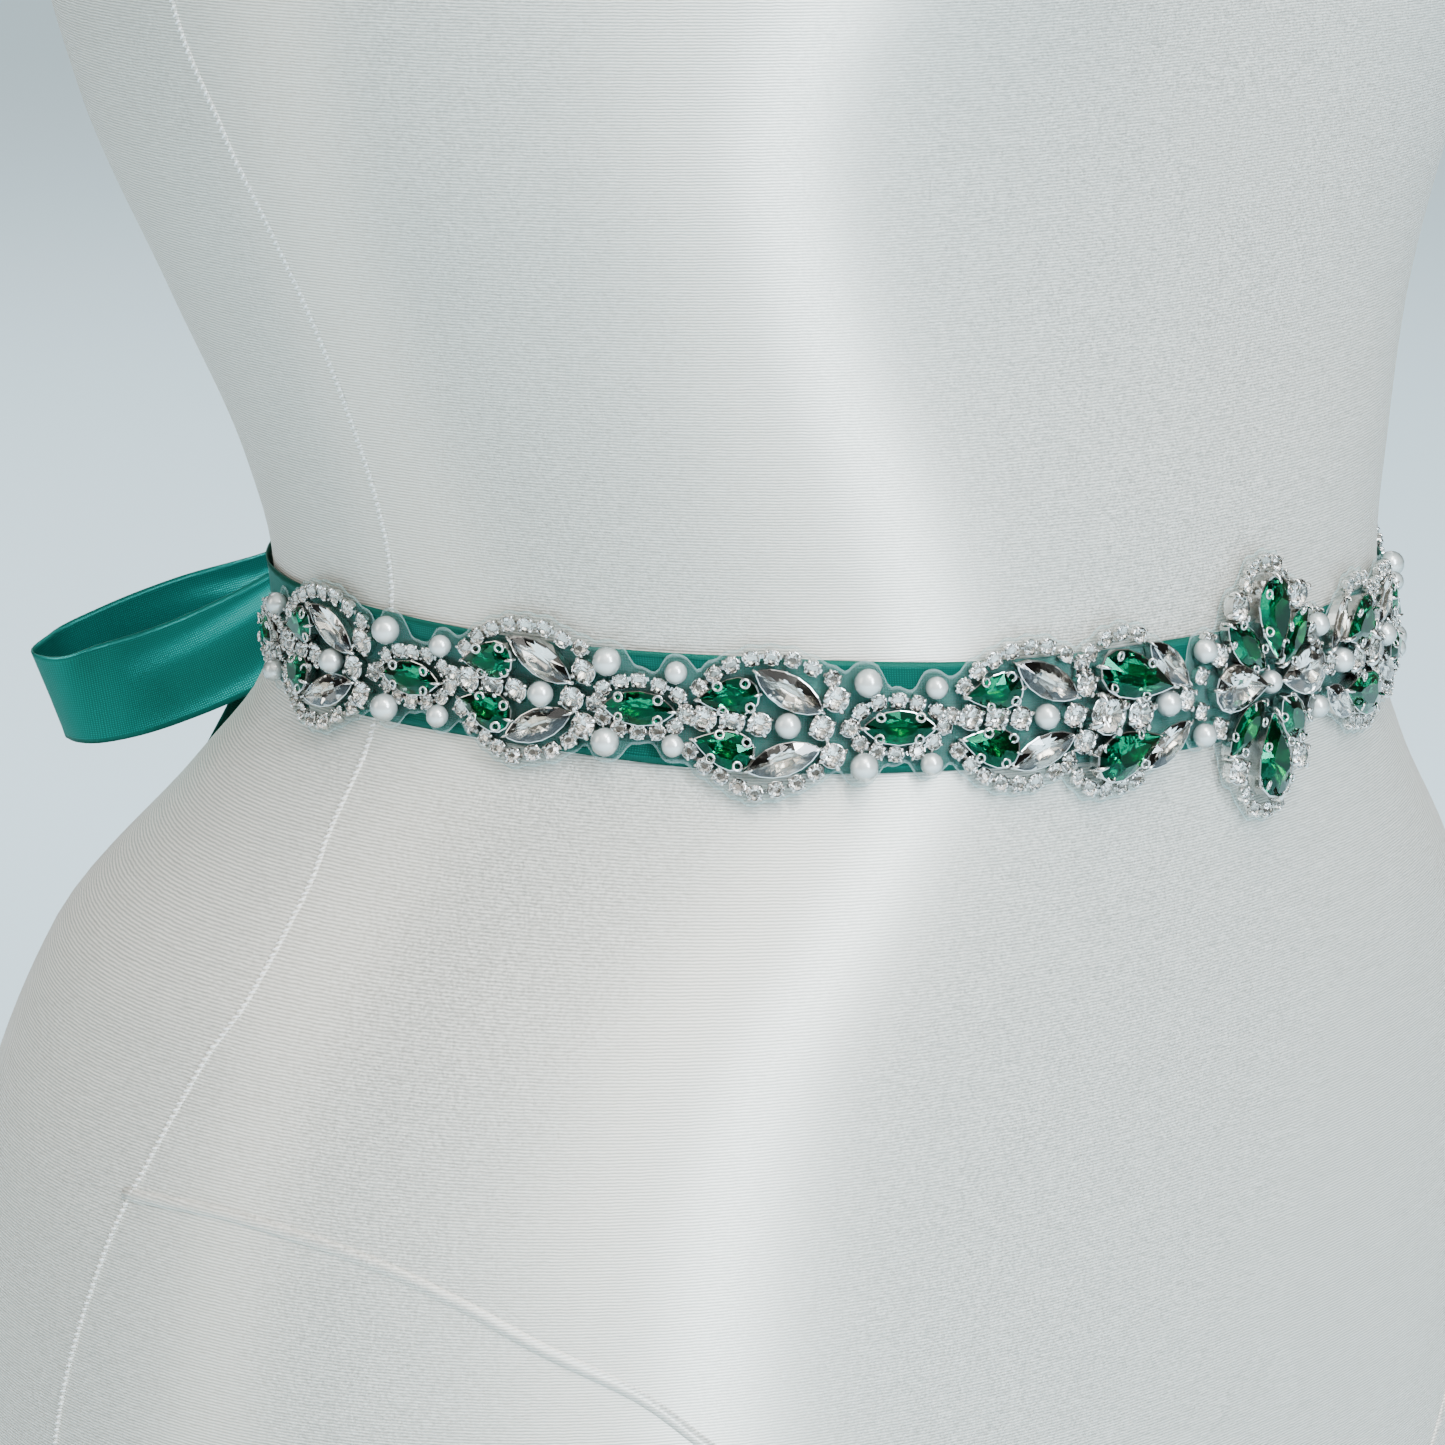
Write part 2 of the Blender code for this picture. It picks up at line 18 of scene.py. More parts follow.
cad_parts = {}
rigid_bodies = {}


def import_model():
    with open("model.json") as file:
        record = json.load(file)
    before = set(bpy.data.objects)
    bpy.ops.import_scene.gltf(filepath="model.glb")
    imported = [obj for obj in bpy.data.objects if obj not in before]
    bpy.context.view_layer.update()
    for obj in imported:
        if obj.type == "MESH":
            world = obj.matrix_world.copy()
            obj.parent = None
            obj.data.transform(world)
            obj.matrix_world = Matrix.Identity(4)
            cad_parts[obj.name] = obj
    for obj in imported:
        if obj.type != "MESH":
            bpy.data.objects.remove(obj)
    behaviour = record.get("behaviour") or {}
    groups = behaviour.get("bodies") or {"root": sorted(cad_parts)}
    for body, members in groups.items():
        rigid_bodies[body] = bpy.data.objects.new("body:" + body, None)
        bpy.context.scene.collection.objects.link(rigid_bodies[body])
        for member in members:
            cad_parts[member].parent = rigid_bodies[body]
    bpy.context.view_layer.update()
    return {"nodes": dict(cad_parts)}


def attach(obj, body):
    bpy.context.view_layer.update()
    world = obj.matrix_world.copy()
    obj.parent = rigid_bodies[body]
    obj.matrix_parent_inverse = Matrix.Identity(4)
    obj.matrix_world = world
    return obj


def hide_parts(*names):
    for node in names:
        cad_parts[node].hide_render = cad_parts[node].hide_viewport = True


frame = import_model()
print("solids:", ", ".join(sorted(frame["nodes"])))

# %% [markdown]
# ## Sizes
#
# A dressmaker knows a form by a few sections: how wide and how deep it is at each
# height. We keep those in one table, in millimetres from the waist, because the cover,
# the ribbon and each stone are all placed from the same surface.

# %% The form's sections and the sash's line
WAIST_Z = 300.0  # the waist above the flat base
FRONT_N, BACK_N = 2.16, 2.1  # how square the two halves of the waist are
# z from the waist, half width, depth to the front, depth to the back, and how
# square the front half of the section is, 2 being an ellipse
FORM = np.array((
    (-300, 153, 113, 113, 2.2),
    (-297, 156, 116, 116, 2.2),
    (-250, 162, 115, 126, 2.2),
    (-200, 167, 114, 133, 2.16),
    (-160, 168, 113, 135, 2.16),
    (-130, 167, 112.3, 134, 2.16),
    (-95, 163, 111.2, 130, 2.16),
    (-60, 150, 109, 118, 2.16),
    (-30, 124, 106.4, 93.5, 2.16),
    (-12, 111.6, 105.4, 79.6, 2.16),
    (0, 109, 105.1, 75.9, 2.16),
    (12, 109.8, 104.3, 76.7, 2.16),
    (30, 115, 103.4, 80.6, 2.16),
    (60, 128.5, 100.4, 93, 2.2),
    (95, 145, 100, 106, 2.3),
    (130, 155, 101, 113, 2.45),
    (168, 159, 103, 117, 2.6),
    (205, 157, 102, 114, 2.6),
    (240, 155, 93, 110, 2.5),
    (275, 159, 78, 104, 2.4),
    (305, 164, 64, 96, 2.3),
    (325, 162, 55, 87, 2.2),
    (342, 148, 49, 79, 2.1),
    (357, 122, 46, 73, 2.1),
    (372, 92, 46, 67, 2.1),
    (386, 69, 48, 62, 2.1),
    (400, 58, 49, 58, 2.1),
    (424, 54, 47, 55, 2.1),
    (446, 54, 46, 55, 2.1),
), float)  # fmt: skip
BUST = {"x": 74, "z": 166, "wide": 41, "high": 46, "out": 22}
RING = (111.2, 107.3, 78.1)  # half width, front, back of the line the sash lies on
TILT_Y, TILT_X = 0.0266, -0.0097  # the sash sits lower in front
RIBBON = 19.0

# %% [markdown]
# ## The surface of the form
#
# Two small functions do the work. One runs a smooth curve through a table, and one
# turns a section angle and a height into a point. With them, cloth can be laid on the
# form as if it were flat: so far round, so far up, so far off the surface.


# %% Points on the form
def through(xs, ys, x):
    """A smooth curve through the rows of a table that never overshoots them."""
    step, rise = np.diff(xs), np.diff(ys) / np.diff(xs)
    slope = np.zeros_like(ys)
    same = rise[1:] * rise[:-1] > 0
    w1, w2 = 2 * step[1:] + step[:-1], step[1:] + 2 * step[:-1]
    safe = [np.where(same, r, 1) for r in (rise[:-1], rise[1:])]
    slope[1:-1] = np.where(same, (w1 + w2) / (w1 / safe[0] + w2 / safe[1]), 0)
    slope[0], slope[-1] = rise[0], rise[-1]
    i = np.clip(np.searchsorted(xs, x) - 1, 0, len(step) - 1)
    h = step[i]
    t = np.clip((x - xs[i]) / h, 0, 1)
    return (
        ys[i] * (1 + 2 * t) * (1 - t) ** 2
        + h * slope[i] * t * (1 - t) ** 2
        + ys[i + 1] * t**2 * (3 - 2 * t)
        - h * slope[i + 1] * t**2 * (1 - t)
    )


def section(u, half, front, back, front_n=FRONT_N):
    """A point of a section: u is 0 at the front and runs to the form's right."""
    s, c = np.sin(u), np.cos(u)
    n = np.where(c > 0, front_n, BACK_N)
    x = -half * np.sign(s) * np.abs(s) ** (2 / n)
    y = -np.where(c > 0, front, back) * np.sign(c) * np.abs(c) ** (2 / n)
    return x, y


def form_point(u, z):
    """The form's surface at section angle u and height z from the waist."""
    u, z = np.broadcast_arrays(np.asarray(u, float), np.asarray(z, float))
    x, y = section(u, *(through(FORM[:, 0], FORM[:, k], z) for k in (1, 2, 3, 4)))
    across = (np.abs(x) - BUST["x"]) / BUST["wide"]
    up = (z - BUST["z"]) / BUST["high"]
    bump = BUST["out"] * np.exp(-(across**2) - up**2)
    y = y - bump * np.clip(np.cos(u) * 2, 0, 1)
    return np.stack([x, y, z], -1)


def skin(u, z, off):
    """A point at a distance off the form's surface, along its normal."""
    du, dz = 0.004, 0.4
    a = form_point(u + du, z) - form_point(u - du, z)
    b = form_point(u, z + dz) - form_point(u, z - dz)
    n = np.cross(b, a)
    n /= np.linalg.norm(n, axis=-1, keepdims=True)
    return form_point(u, z) + n * np.asarray(off, float)[..., None]


ring_u = np.linspace(-np.pi, np.pi, 4001)
ring_x, ring_y = section(ring_u, *RING)
ring_s = np.append(0, np.cumsum(np.hypot(np.diff(ring_x), np.diff(ring_y))))
GIRTH = ring_s[-1]
ring_s -= GIRTH / 2


def laid(s, t, off):
    """A point of cloth laid on the form: s round it to its right, t up, off it."""
    s, t, off = np.broadcast_arrays(*(np.asarray(v, float) for v in (s, t, off)))
    line = TILT_Y * np.interp(s, ring_s, ring_y) + TILT_X * np.interp(s, ring_s, ring_x)
    return skin(np.interp(s, ring_s, ring_u), line + t, off)


print(f"sash line {GIRTH:.0f} mm round")

# %% [markdown]
# ## Meshes from grids
#
# Most cloth here is a grid of points with a thin wall. A helper turns an outer and an
# inner grid into one closed mesh with a map in real millimetres, so that a weave
# follows the cloth and not the room.


# %% Mesh helpers
def new_piece(name, points, faces, material, smooth=True, uvs=None):
    """A mesh in metres from points in millimetres, riding on the one body."""
    points = (np.asarray(points, float) + (0, 0, WAIST_Z)) / 1000
    mesh = bpy.data.meshes.new(name)
    mesh.from_pydata(points.tolist(), [], [tuple(int(k) for k in f) for f in faces])
    mesh.update()
    if uvs is not None:
        layer = mesh.uv_layers.new(name="cloth")
        corner = np.empty(len(mesh.loops), np.int32)
        mesh.loops.foreach_get("vertex_index", corner)
        layer.data.foreach_set("uv", np.asarray(uvs, float)[corner].ravel())
    mesh.polygons.foreach_set("use_smooth", [smooth] * len(mesh.polygons))
    mesh.materials.append(material)
    piece = bpy.data.objects.new(name, mesh)
    bpy.context.scene.collection.objects.link(piece)
    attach(piece, "root")
    print(f"{name}: {len(mesh.polygons)} faces")
    return piece


def wall_faces(rows, cols, closed):
    """Faces of a wall from two grids of points, outer then inner."""
    faces, shift = [], rows * cols
    for i in range(rows if closed else rows - 1):
        j = (i + 1) % rows
        for k in range(cols - 1):
            a, b, c, d = i * cols + k, i * cols + k + 1, j * cols + k + 1, j * cols + k
            faces += [(a, b, c, d), (d + shift, c + shift, b + shift, a + shift)]
        a, d = i * cols, j * cols
        faces.append((a, d, d + shift, a + shift))
        a, d = a + cols - 1, d + cols - 1
        faces.append((d, a, a + shift, d + shift))
    if not closed:
        for i, turn in ((0, 1), (rows - 1, -1)):
            for k in range(cols - 1):
                a, b = i * cols + k, i * cols + k + 1
                faces.append((b, a, a + shift, b + shift)[::turn])
    return faces


def wall(name, outer, inner, material, map_grid, closed=False):
    """One closed piece of cloth. map_grid holds the flat place of each point in mm."""
    rows, cols = outer.shape[:2]
    points = np.concatenate([outer.reshape(-1, 3), inner.reshape(-1, 3)])
    uvs = np.concatenate([map_grid.reshape(-1, 2)] * 2) / 1000
    return new_piece(name, points, wall_faces(rows, cols, closed), material, uvs=uvs)


# %% [markdown]
# ## Finishes
#
# Jersey, satin and net all show rows of yarn. So one node group makes rows: it takes a
# coordinate, a pitch and how far the yarn wanders, and gives a height. Each material
# uses it with its own numbers.


# %% A node group for rows of yarn
def link_chain(tree, *pairs):
    for out, into in pairs:
        tree.links.new(out, into)


def make_yarn_rows():
    tree = bpy.data.node_groups.new("yarn_rows", "ShaderNodeTree")
    for name, kind, value in (
        ("Along", "NodeSocketFloat", 0.0),
        ("Vector", "NodeSocketVector", None),
        ("Pitch", "NodeSocketFloat", 0.0005),
        ("Wander", "NodeSocketFloat", 0.4),
        ("Grain", "NodeSocketFloat", 900.0),
    ):
        socket = tree.interface.new_socket(name, in_out="INPUT", socket_type=kind)
        if value is not None:
            socket.default_value = value
    tree.interface.new_socket("Height", in_out="OUTPUT", socket_type="NodeSocketFloat")
    tree.interface.new_socket("Fleck", in_out="OUTPUT", socket_type="NodeSocketFloat")
    node = tree.nodes.new
    inputs, outputs = node("NodeGroupInput"), node("NodeGroupOutput")
    noise = node("ShaderNodeTexNoise")
    noise.inputs["Detail"].default_value = 2.0
    turns, wander, total, sine, half = (node("ShaderNodeMath") for _ in range(5))
    turns.operation, wander.operation, total.operation = "DIVIDE", "MULTIPLY", "ADD"
    sine.operation, half.operation = "SINE", "MULTIPLY_ADD"
    half.inputs[1].default_value = half.inputs[2].default_value = 0.5
    round_turn = node("ShaderNodeMath")
    round_turn.operation = "MULTIPLY"
    round_turn.inputs[1].default_value = 2 * np.pi
    link_chain(
        tree,
        (inputs.outputs["Vector"], noise.inputs["Vector"]),
        (inputs.outputs["Grain"], noise.inputs["Scale"]),
        (inputs.outputs["Along"], turns.inputs[0]),
        (inputs.outputs["Pitch"], turns.inputs[1]),
        (noise.outputs[0], wander.inputs[0]),
        (inputs.outputs["Wander"], wander.inputs[1]),
        (turns.outputs[0], total.inputs[0]),
        (wander.outputs[0], total.inputs[1]),
        (total.outputs[0], round_turn.inputs[0]),
        (round_turn.outputs[0], sine.inputs[0]),
        (sine.outputs[0], half.inputs[0]),
        (half.outputs[0], outputs.inputs["Height"]),
        (noise.outputs[0], outputs.inputs["Fleck"]),
    )
    return tree


YARN_ROWS = make_yarn_rows()


def new_material(name, **values):
    """A material with its Principled sockets set to plain values."""
    material = bpy.data.materials.new(name)
    material.use_nodes = True
    shader = material.node_tree.nodes["Principled BSDF"]
    for key, value in values.items():
        shader.inputs[key.replace("_", " ")].default_value = value
    return material, material.node_tree, shader


def add_rows(tree, along, vector, pitch, wander, grain):
    rows = tree.nodes.new("ShaderNodeGroup")
    rows.node_tree = YARN_ROWS
    rows.inputs["Pitch"].default_value = pitch
    rows.inputs["Wander"].default_value = wander
    rows.inputs["Grain"].default_value = grain
    link_chain(tree, (along, rows.inputs["Along"]), (vector, rows.inputs["Vector"]))
    return rows


def mixed(tree, factor, low, high):
    """A colour that runs from low to high with a factor."""
    mix = tree.nodes.new("ShaderNodeMix")
    mix.data_type = "RGBA"
    mix.inputs[6].default_value = (*low, 1)
    mix.inputs[7].default_value = (*high, 1)
    tree.links.new(factor, mix.inputs[0])
    return mix.outputs[2]


def add_bump(tree, shader, height, strength, distance):
    bump = tree.nodes.new("ShaderNodeBump")
    bump.inputs["Strength"].default_value = strength
    bump.inputs["Distance"].default_value = distance
    link_chain(tree, (height, bump.inputs["Height"]), (bump.outputs[0], shader.inputs["Normal"]))
    return bump


# %% [markdown]
# The cover is a shiny knit. Its yarn lies in level rows, so a lamp's reflection is
# drawn out up and down into the long soft streak that such covers have. An
# anisotropic reflection turned a quarter from the rows gives that streak.


# %% White jersey
def make_jersey():
    material, tree, shader = new_material(
        "white_jersey", Roughness=0.55, Anisotropic=1.0, Anisotropic_Rotation=0.25,
        Specular_IOR_Level=0.5,
    )  # fmt: skip
    place, split = (tree.nodes.new(k) for k in ("ShaderNodeTexCoord", "ShaderNodeSeparateXYZ"))
    tree.links.new(place.outputs["Object"], split.inputs[0])
    rows = add_rows(tree, split.outputs["Z"], place.outputs["Object"], 0.00052, 0.5, 420.0)
    # the rows fade out on level faces, such as the top of the neck
    face, facing = (tree.nodes.new(k) for k in ("ShaderNodeNewGeometry", "ShaderNodeSeparateXYZ"))
    fade, yarn = tree.nodes.new("ShaderNodeMapRange"), tree.nodes.new("ShaderNodeMix")
    fade.inputs["From Min"].default_value, fade.inputs["From Max"].default_value = 0.80, 0.95
    yarn.inputs[3].default_value = 0.5
    link_chain(
        tree,
        (face.outputs["Normal"], facing.inputs[0]),
        (facing.outputs["Z"], fade.inputs["Value"]),
        (fade.outputs[0], yarn.inputs[0]),
        (rows.outputs["Height"], yarn.inputs[2]),
    )
    colour = mixed(tree, yarn.outputs[0], (0.52, 0.505, 0.455), (0.97, 0.93, 0.84))
    tree.links.new(colour, shader.inputs["Base Color"])
    add_bump(tree, shader, yarn.outputs[0], 0.6, 0.00012)
    # bright filaments catch the lamp here and there, as fine grain
    glint, shine = tree.nodes.new("ShaderNodeTexNoise"), tree.nodes.new("ShaderNodeMapRange")
    glint.inputs["Scale"].default_value = 2000.0
    glint.inputs["Detail"].default_value = 1.0
    shine.inputs["From Min"].default_value, shine.inputs["From Max"].default_value = 0.35, 0.65
    shine.inputs["To Min"].default_value, shine.inputs["To Max"].default_value = 0.30, 0.66
    link_chain(
        tree,
        (place.outputs["Object"], glint.inputs["Vector"]),
        (glint.outputs[0], shine.inputs["Value"]),
        (shine.outputs[0], shader.inputs["Metallic"]),
    )
    grain = tree.nodes.new("ShaderNodeTangent")
    grain.direction_type, grain.axis = "RADIAL", "Z"
    tree.links.new(grain.outputs[0], shader.inputs["Tangent"])
    return material


JERSEY = make_jersey()

# %% [markdown]
# Satin ribbon shows long floats of yarn along its length, crossed by fine ribs, and a
# denser woven edge. The map on each ribbon is in real sizes: the first number runs
# along the ribbon and the second across it, with 0 on its middle line.


# %% Emerald satin
def make_satin():
    material, tree, shader = new_material(
        "emerald_satin", Metallic=0.5, Roughness=0.40, Anisotropic=1.0, Specular_IOR_Level=0.2,
    )  # fmt: skip
    place, split = (tree.nodes.new(k) for k in ("ShaderNodeTexCoord", "ShaderNodeSeparateXYZ"))
    tree.links.new(place.outputs["UV"], split.inputs[0])
    ribs = add_rows(tree, split.outputs["X"], place.outputs["UV"], 0.00045, 0.7, 700.0)
    floats = add_rows(tree, split.outputs["Y"], place.outputs["UV"], 0.00040, 0.8, 500.0)
    both = tree.nodes.new("ShaderNodeMath")
    both.operation = "MULTIPLY"
    link_chain(tree, (ribs.outputs["Height"], both.inputs[0]), (floats.outputs["Height"], both.inputs[1]))
    # the woven edge, in the last 0.8 mm on each side
    side, edge = (tree.nodes.new("ShaderNodeMath") for _ in range(2))
    side.operation, edge.operation = "ABSOLUTE", "GREATER_THAN"
    edge.inputs[1].default_value = (RIBBON / 2 - 0.8) / 1000
    link_chain(tree, (split.outputs["Y"], side.inputs[0]), (side.outputs[0], edge.inputs[0]))
    ground = mixed(tree, both.outputs[0], (0.001, 0.066, 0.046), (0.001, 0.150, 0.116))
    trim = tree.nodes.new("ShaderNodeMix")
    trim.data_type = "RGBA"
    trim.inputs[7].default_value = (0.001, 0.07, 0.05, 1)
    link_chain(
        tree,
        (edge.outputs[0], trim.inputs[0]),
        (ground, trim.inputs[6]),
        (trim.outputs[2], shader.inputs["Base Color"]),
    )
    add_bump(tree, shader, both.outputs[0], 0.18, 0.00012)
    grain = tree.nodes.new("ShaderNodeTangent")
    grain.direction_type, grain.uv_map = "UV_MAP", "cloth"
    tree.links.new(grain.outputs[0], shader.inputs["Tangent"])
    return material


SATIN = make_satin()

# %% [markdown]
# The net behind the stones is nearly clear. Crossed rows of yarn let the ribbon show
# between them, and the cut edge is sealed, so it is paler and closer.


# %% Net
def make_net():
    material, tree, shader = new_material("sheer_net", Roughness=0.5, Specular_IOR_Level=0.15)
    shader.inputs["Base Color"].default_value = (0.34, 0.50, 0.48, 1)
    place, split = (tree.nodes.new(k) for k in ("ShaderNodeTexCoord", "ShaderNodeSeparateXYZ"))
    tree.links.new(place.outputs["UV"], split.inputs[0])
    warp = add_rows(tree, split.outputs["X"], place.outputs["UV"], 0.0005, 0.3, 500.0)
    weft = add_rows(tree, split.outputs["Y"], place.outputs["UV"], 0.0005, 0.3, 500.0)
    most = tree.nodes.new("ShaderNodeMath")
    most.operation = "MAXIMUM"
    rim = tree.nodes.new("ShaderNodeAttribute")
    rim.attribute_name = "rim"
    cover, sealed = (tree.nodes.new("ShaderNodeMapRange") for _ in range(2))
    cover.inputs["To Min"].default_value = 0.025
    cover.inputs["To Max"].default_value = 0.08
    sealed.inputs["To Max"].default_value = 0.28
    alpha = tree.nodes.new("ShaderNodeMath")
    alpha.operation = "MAXIMUM"
    link_chain(
        tree,
        (warp.outputs["Height"], most.inputs[0]),
        (weft.outputs["Height"], most.inputs[1]),
        (most.outputs[0], cover.inputs["Value"]),
        (rim.outputs["Fac"], sealed.inputs["Value"]),
        (cover.outputs[0], alpha.inputs[0]),
        (sealed.outputs[0], alpha.inputs[1]),
        (alpha.outputs[0], shader.inputs["Alpha"]),
    )
    return material


NET = make_net()


# %% [markdown]
# Stones are glass cut with flat faces, set in bright plated cups that throw the light
# back. Pearls are white beads, with painted shade darkening their rims where they turn away.


# %% Glass, plating, pearl and thread
def make_hard_finishes():
    made = {}
    made["clear"], _, _ = new_material(
        "clear_crystal", Base_Color=(1, 0.98, 0.93, 1), Roughness=0.0, IOR=1.6,
        Transmission_Weight=1.0,
    )  # fmt: skip
    made["green"], _, _ = new_material(
        "emerald_crystal", Base_Color=(0.0, 0.21, 0.09, 1), Roughness=0.0, IOR=1.58,
        Transmission_Weight=1.0, Specular_Tint=(0.05, 0.65, 0.38, 1),
    )  # fmt: skip
    made["plated"], tree, shader = new_material("silver_plating", Metallic=1.0)
    place, noise = (tree.nodes.new(k) for k in ("ShaderNodeTexCoord", "ShaderNodeTexNoise"))
    noise.inputs["Scale"].default_value = 900.0
    colour = mixed(tree, noise.outputs[0], (0.46, 0.445, 0.42), (0.86, 0.85, 0.82))
    rough = tree.nodes.new("ShaderNodeMapRange")
    rough.inputs["To Min"].default_value, rough.inputs["To Max"].default_value = 0.08, 0.24
    link_chain(
        tree,
        (place.outputs["Object"], noise.inputs["Vector"]),
        (colour, shader.inputs["Base Color"]),
        (noise.outputs[0], rough.inputs["Value"]),
        (rough.outputs[0], shader.inputs["Roughness"]),
    )
    made["pearl"], tree, shader = new_material(
        "white_pearl", Metallic=0.4, Roughness=0.26, Coat_Weight=0.8, Coat_Roughness=0.05,
        Specular_IOR_Level=0.6,
    )  # fmt: skip
    place, noise = (tree.nodes.new(k) for k in ("ShaderNodeTexCoord", "ShaderNodeTexNoise"))
    noise.inputs["Scale"].default_value = 700.0
    colour = mixed(tree, noise.outputs[0], (0.66, 0.69, 0.66), (0.80, 0.81, 0.77))
    # painted shade: the base colour turns dark grey-green at each pearl's rim, where it faces away
    facing, painted_rim_shade = tree.nodes.new("ShaderNodeLayerWeight"), tree.nodes.new("ShaderNodeMix")
    facing.inputs["Blend"].default_value = 0.66
    painted_rim_shade.data_type = "RGBA"
    painted_rim_shade.inputs[7].default_value = (0.12, 0.16, 0.15, 1)
    link_chain(
        tree,
        (place.outputs["Object"], noise.inputs["Vector"]),
        (facing.outputs["Facing"], painted_rim_shade.inputs[0]),
        (colour, painted_rim_shade.inputs[6]),
        (painted_rim_shade.outputs[2], shader.inputs["Base Color"]),
    )
    made["thread"], tree, shader = new_material("white_thread", Roughness=0.5, Sheen_Weight=0.3)
    place, noise = (tree.nodes.new(k) for k in ("ShaderNodeTexCoord", "ShaderNodeTexNoise"))
    noise.inputs["Scale"].default_value = 1500.0
    colour = mixed(tree, noise.outputs[0], (0.78, 0.78, 0.77), (0.93, 0.93, 0.92))
    link_chain(
        tree,
        (place.outputs["Object"], noise.inputs["Vector"]),
        (colour, shader.inputs["Base Color"]),
    )
    return made


FINISH = make_hard_finishes()

# %% [markdown]
# ## The cover of the form
#
# The solid form has broad facets. The cover is the same surface with far more points,
# closed by a flat base and a slightly domed neck.


# %% Form cover
def build_cover():
    cols = 220
    u = np.linspace(-np.pi, np.pi, cols, endpoint=False)
    z = np.concatenate([[-300, -298.6, -297], np.arange(-293, 444.1, 3.6), [444]])
    rings = list(form_point(u[None, :], z[:, None]))
    for shrink, rise in ((0.985, 1.3), (0.94, 2.2), (0.72, 3.0), (0.4, 3.9)):
        rings.append(rings[len(z) - 1] * (shrink, shrink, 1) + (0, 0.5, rise))
    points = np.concatenate([*rings, [(0, 1.5, 448.5)], [(0, 0, -300)]])
    faces = []
    for i in range(len(rings) - 1):
        for k in range(cols):
            a, b = i * cols + k, i * cols + (k + 1) % cols
            faces.append((a, a + cols, b + cols, b))
    crown, base, top = len(points) - 2, len(points) - 1, (len(rings) - 1) * cols
    for k in range(cols):
        faces += [(top + k, crown, top + (k + 1) % cols), (k, (k + 1) % cols, base)]
    cover = new_piece("form_cover", points, faces, JERSEY)
    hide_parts("dress_form")
    return cover


COVER = build_cover()

# %% [markdown]
# ## The ribbon round the waist
#
# The ribbon is 19 mm satin. Its edges lift a little here and there where the waist
# narrows under them, so each edge has its own slow wave.


# %% Waist ribbon
def build_band():
    end = GIRTH / 2 - 1.2
    s = np.linspace(-end, end, 420)[:, None]
    t = np.linspace(-RIBBON / 2, RIBBON / 2, 15)[None, :]
    lift = 0.5 + 0.35 * np.sin(s / 9.1 + 1.7 * np.sign(t)) + 0.2 * np.sin(s / 4.3)
    wave = 0.3 * np.clip(lift, 0, 1) * (t / 9.5) ** 4
    drift = 0.28 * np.sin(s / 13.0) * np.abs(t / 9.5) ** 2 * np.sign(t)
    outer = laid(s, t + drift, 0.95 + wave)
    inner = laid(s, t + drift, 0.62 + wave)
    flat = np.stack(np.broadcast_arrays(s, t), -1)
    band = wall("satin_band", outer, inner, SATIN, flat)
    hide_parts("ribbon_band")
    return band


BAND = build_band()

# %% [markdown]
# ## The bow and its tails
#
# Each loop and tail is one strip of ribbon led through given stations. A
# station says where the middle of the ribbon is, how wide it is there, which way it
# faces and how deep its lengthwise folds are. The folds die out away from the knot.

# %% Stations of the bow: x, y, z, half width, across x, y, z, fold
LOOP = (
    (-2.4, 82.2, 1.2, 6.2, 0, 0, 1, 0.35),
    (-11.0, 82.6, 0.6, 6.2, 0, 0.05, 1, 0.4),
    (-24, 87.8, -7.0, 8.9, -0.2, 0.25, 1, 0.8),
    (-44, 95.4, -17.6, 9.5, -0.25, 0.35, 1, 0.5),
    (-61.5, 101.4, -23.6, 9.5, -0.3, 0.35, 1, 0.3),
    (-74.1, 104.2, -25.6, 9.5, -0.27, 0.26, 1, 0.1),
    (-81.4, 109.9, -27.2, 9.5, -0.39, -0.03, 1, 0),
    (-81.0, 115.1, -27.2, 9.5, -0.42, 0.09, 1, 0),
    (-73.9, 119.8, -26.0, 9.5, -0.16, 0.1, 1, 0.1),
    (-60.5, 119.6, -22.6, 9.5, -0.2, 0.05, 1, 0.3),
    (-44, 116.4, -19.0, 9.5, -0.15, 0.05, 1, 0.6),
    (-26, 107.5, -14.0, 8.9, -0.15, 0.05, 1, 0.9),
    (-11.5, 91.2, -0.4, 6.2, 0, 0, 1, 0.4),
    (-2.4, 90.6, 1.2, 6.2, 0, 0, 1, 0.35),
)
TAIL = (
    (-2.4, 86.3, 0.0, 6.0, -0.1, 0, 1, 0.3),
    (-10.5, 86.8, -0.8, 5.9, -0.2, 0, 1, 0.4),
    (-19.5, 91.6, -9.5, 7.8, -0.55, 0.1, 0.8, 0.7),
    (-28, 98.5, -22, 9.3, -0.85, 0.1, 0.5, 0.8),
    (-35.5, 105.5, -38, 9.5, -1, 0, 0.2, 0.7),
    (-41, 113.5, -56, 9.5, -1, 0, 0.1, 0.6),
    (-45.5, 122, -80, 9.5, -1, 0, 0, 0.5),
    (-49, 130.5, -115, 9.5, -1, -0.05, 0, 0.6),
    (-50.5, 135.5, -155, 9.5, -1, -0.08, 0, 0.9),
    (-51.5, 137.5, -200, 9.5, -1, -0.05, 0, 1.2),
    (-52.5, 138.5, -245, 9.5, -1, 0, 0, 1.6),
    (-53, 139.5, -283, 9.5, -1, 0, 0, 1.9),
)
SHEER_WALL = 0.36  # the ribbon's thickness as seen


# %% Strips of ribbon
def clear_of_back(grid, gap):
    """Moves cloth that hangs behind the form out until it clears the hips."""
    x, z = grid[..., 0], grid[..., 2]
    half, back = (through(FORM[:, 0], FORM[:, k], z) for k in (1, 3))
    depth = back * (1 - (np.abs(x) / half) ** BACK_N) ** (1 / BACK_N) + gap
    over = depth - grid[..., 1]
    soft = 0.5 * (over + np.sqrt(over**2 + 1.2))
    grid[..., 1] += np.where(z < -20, soft, 0)
    return grid


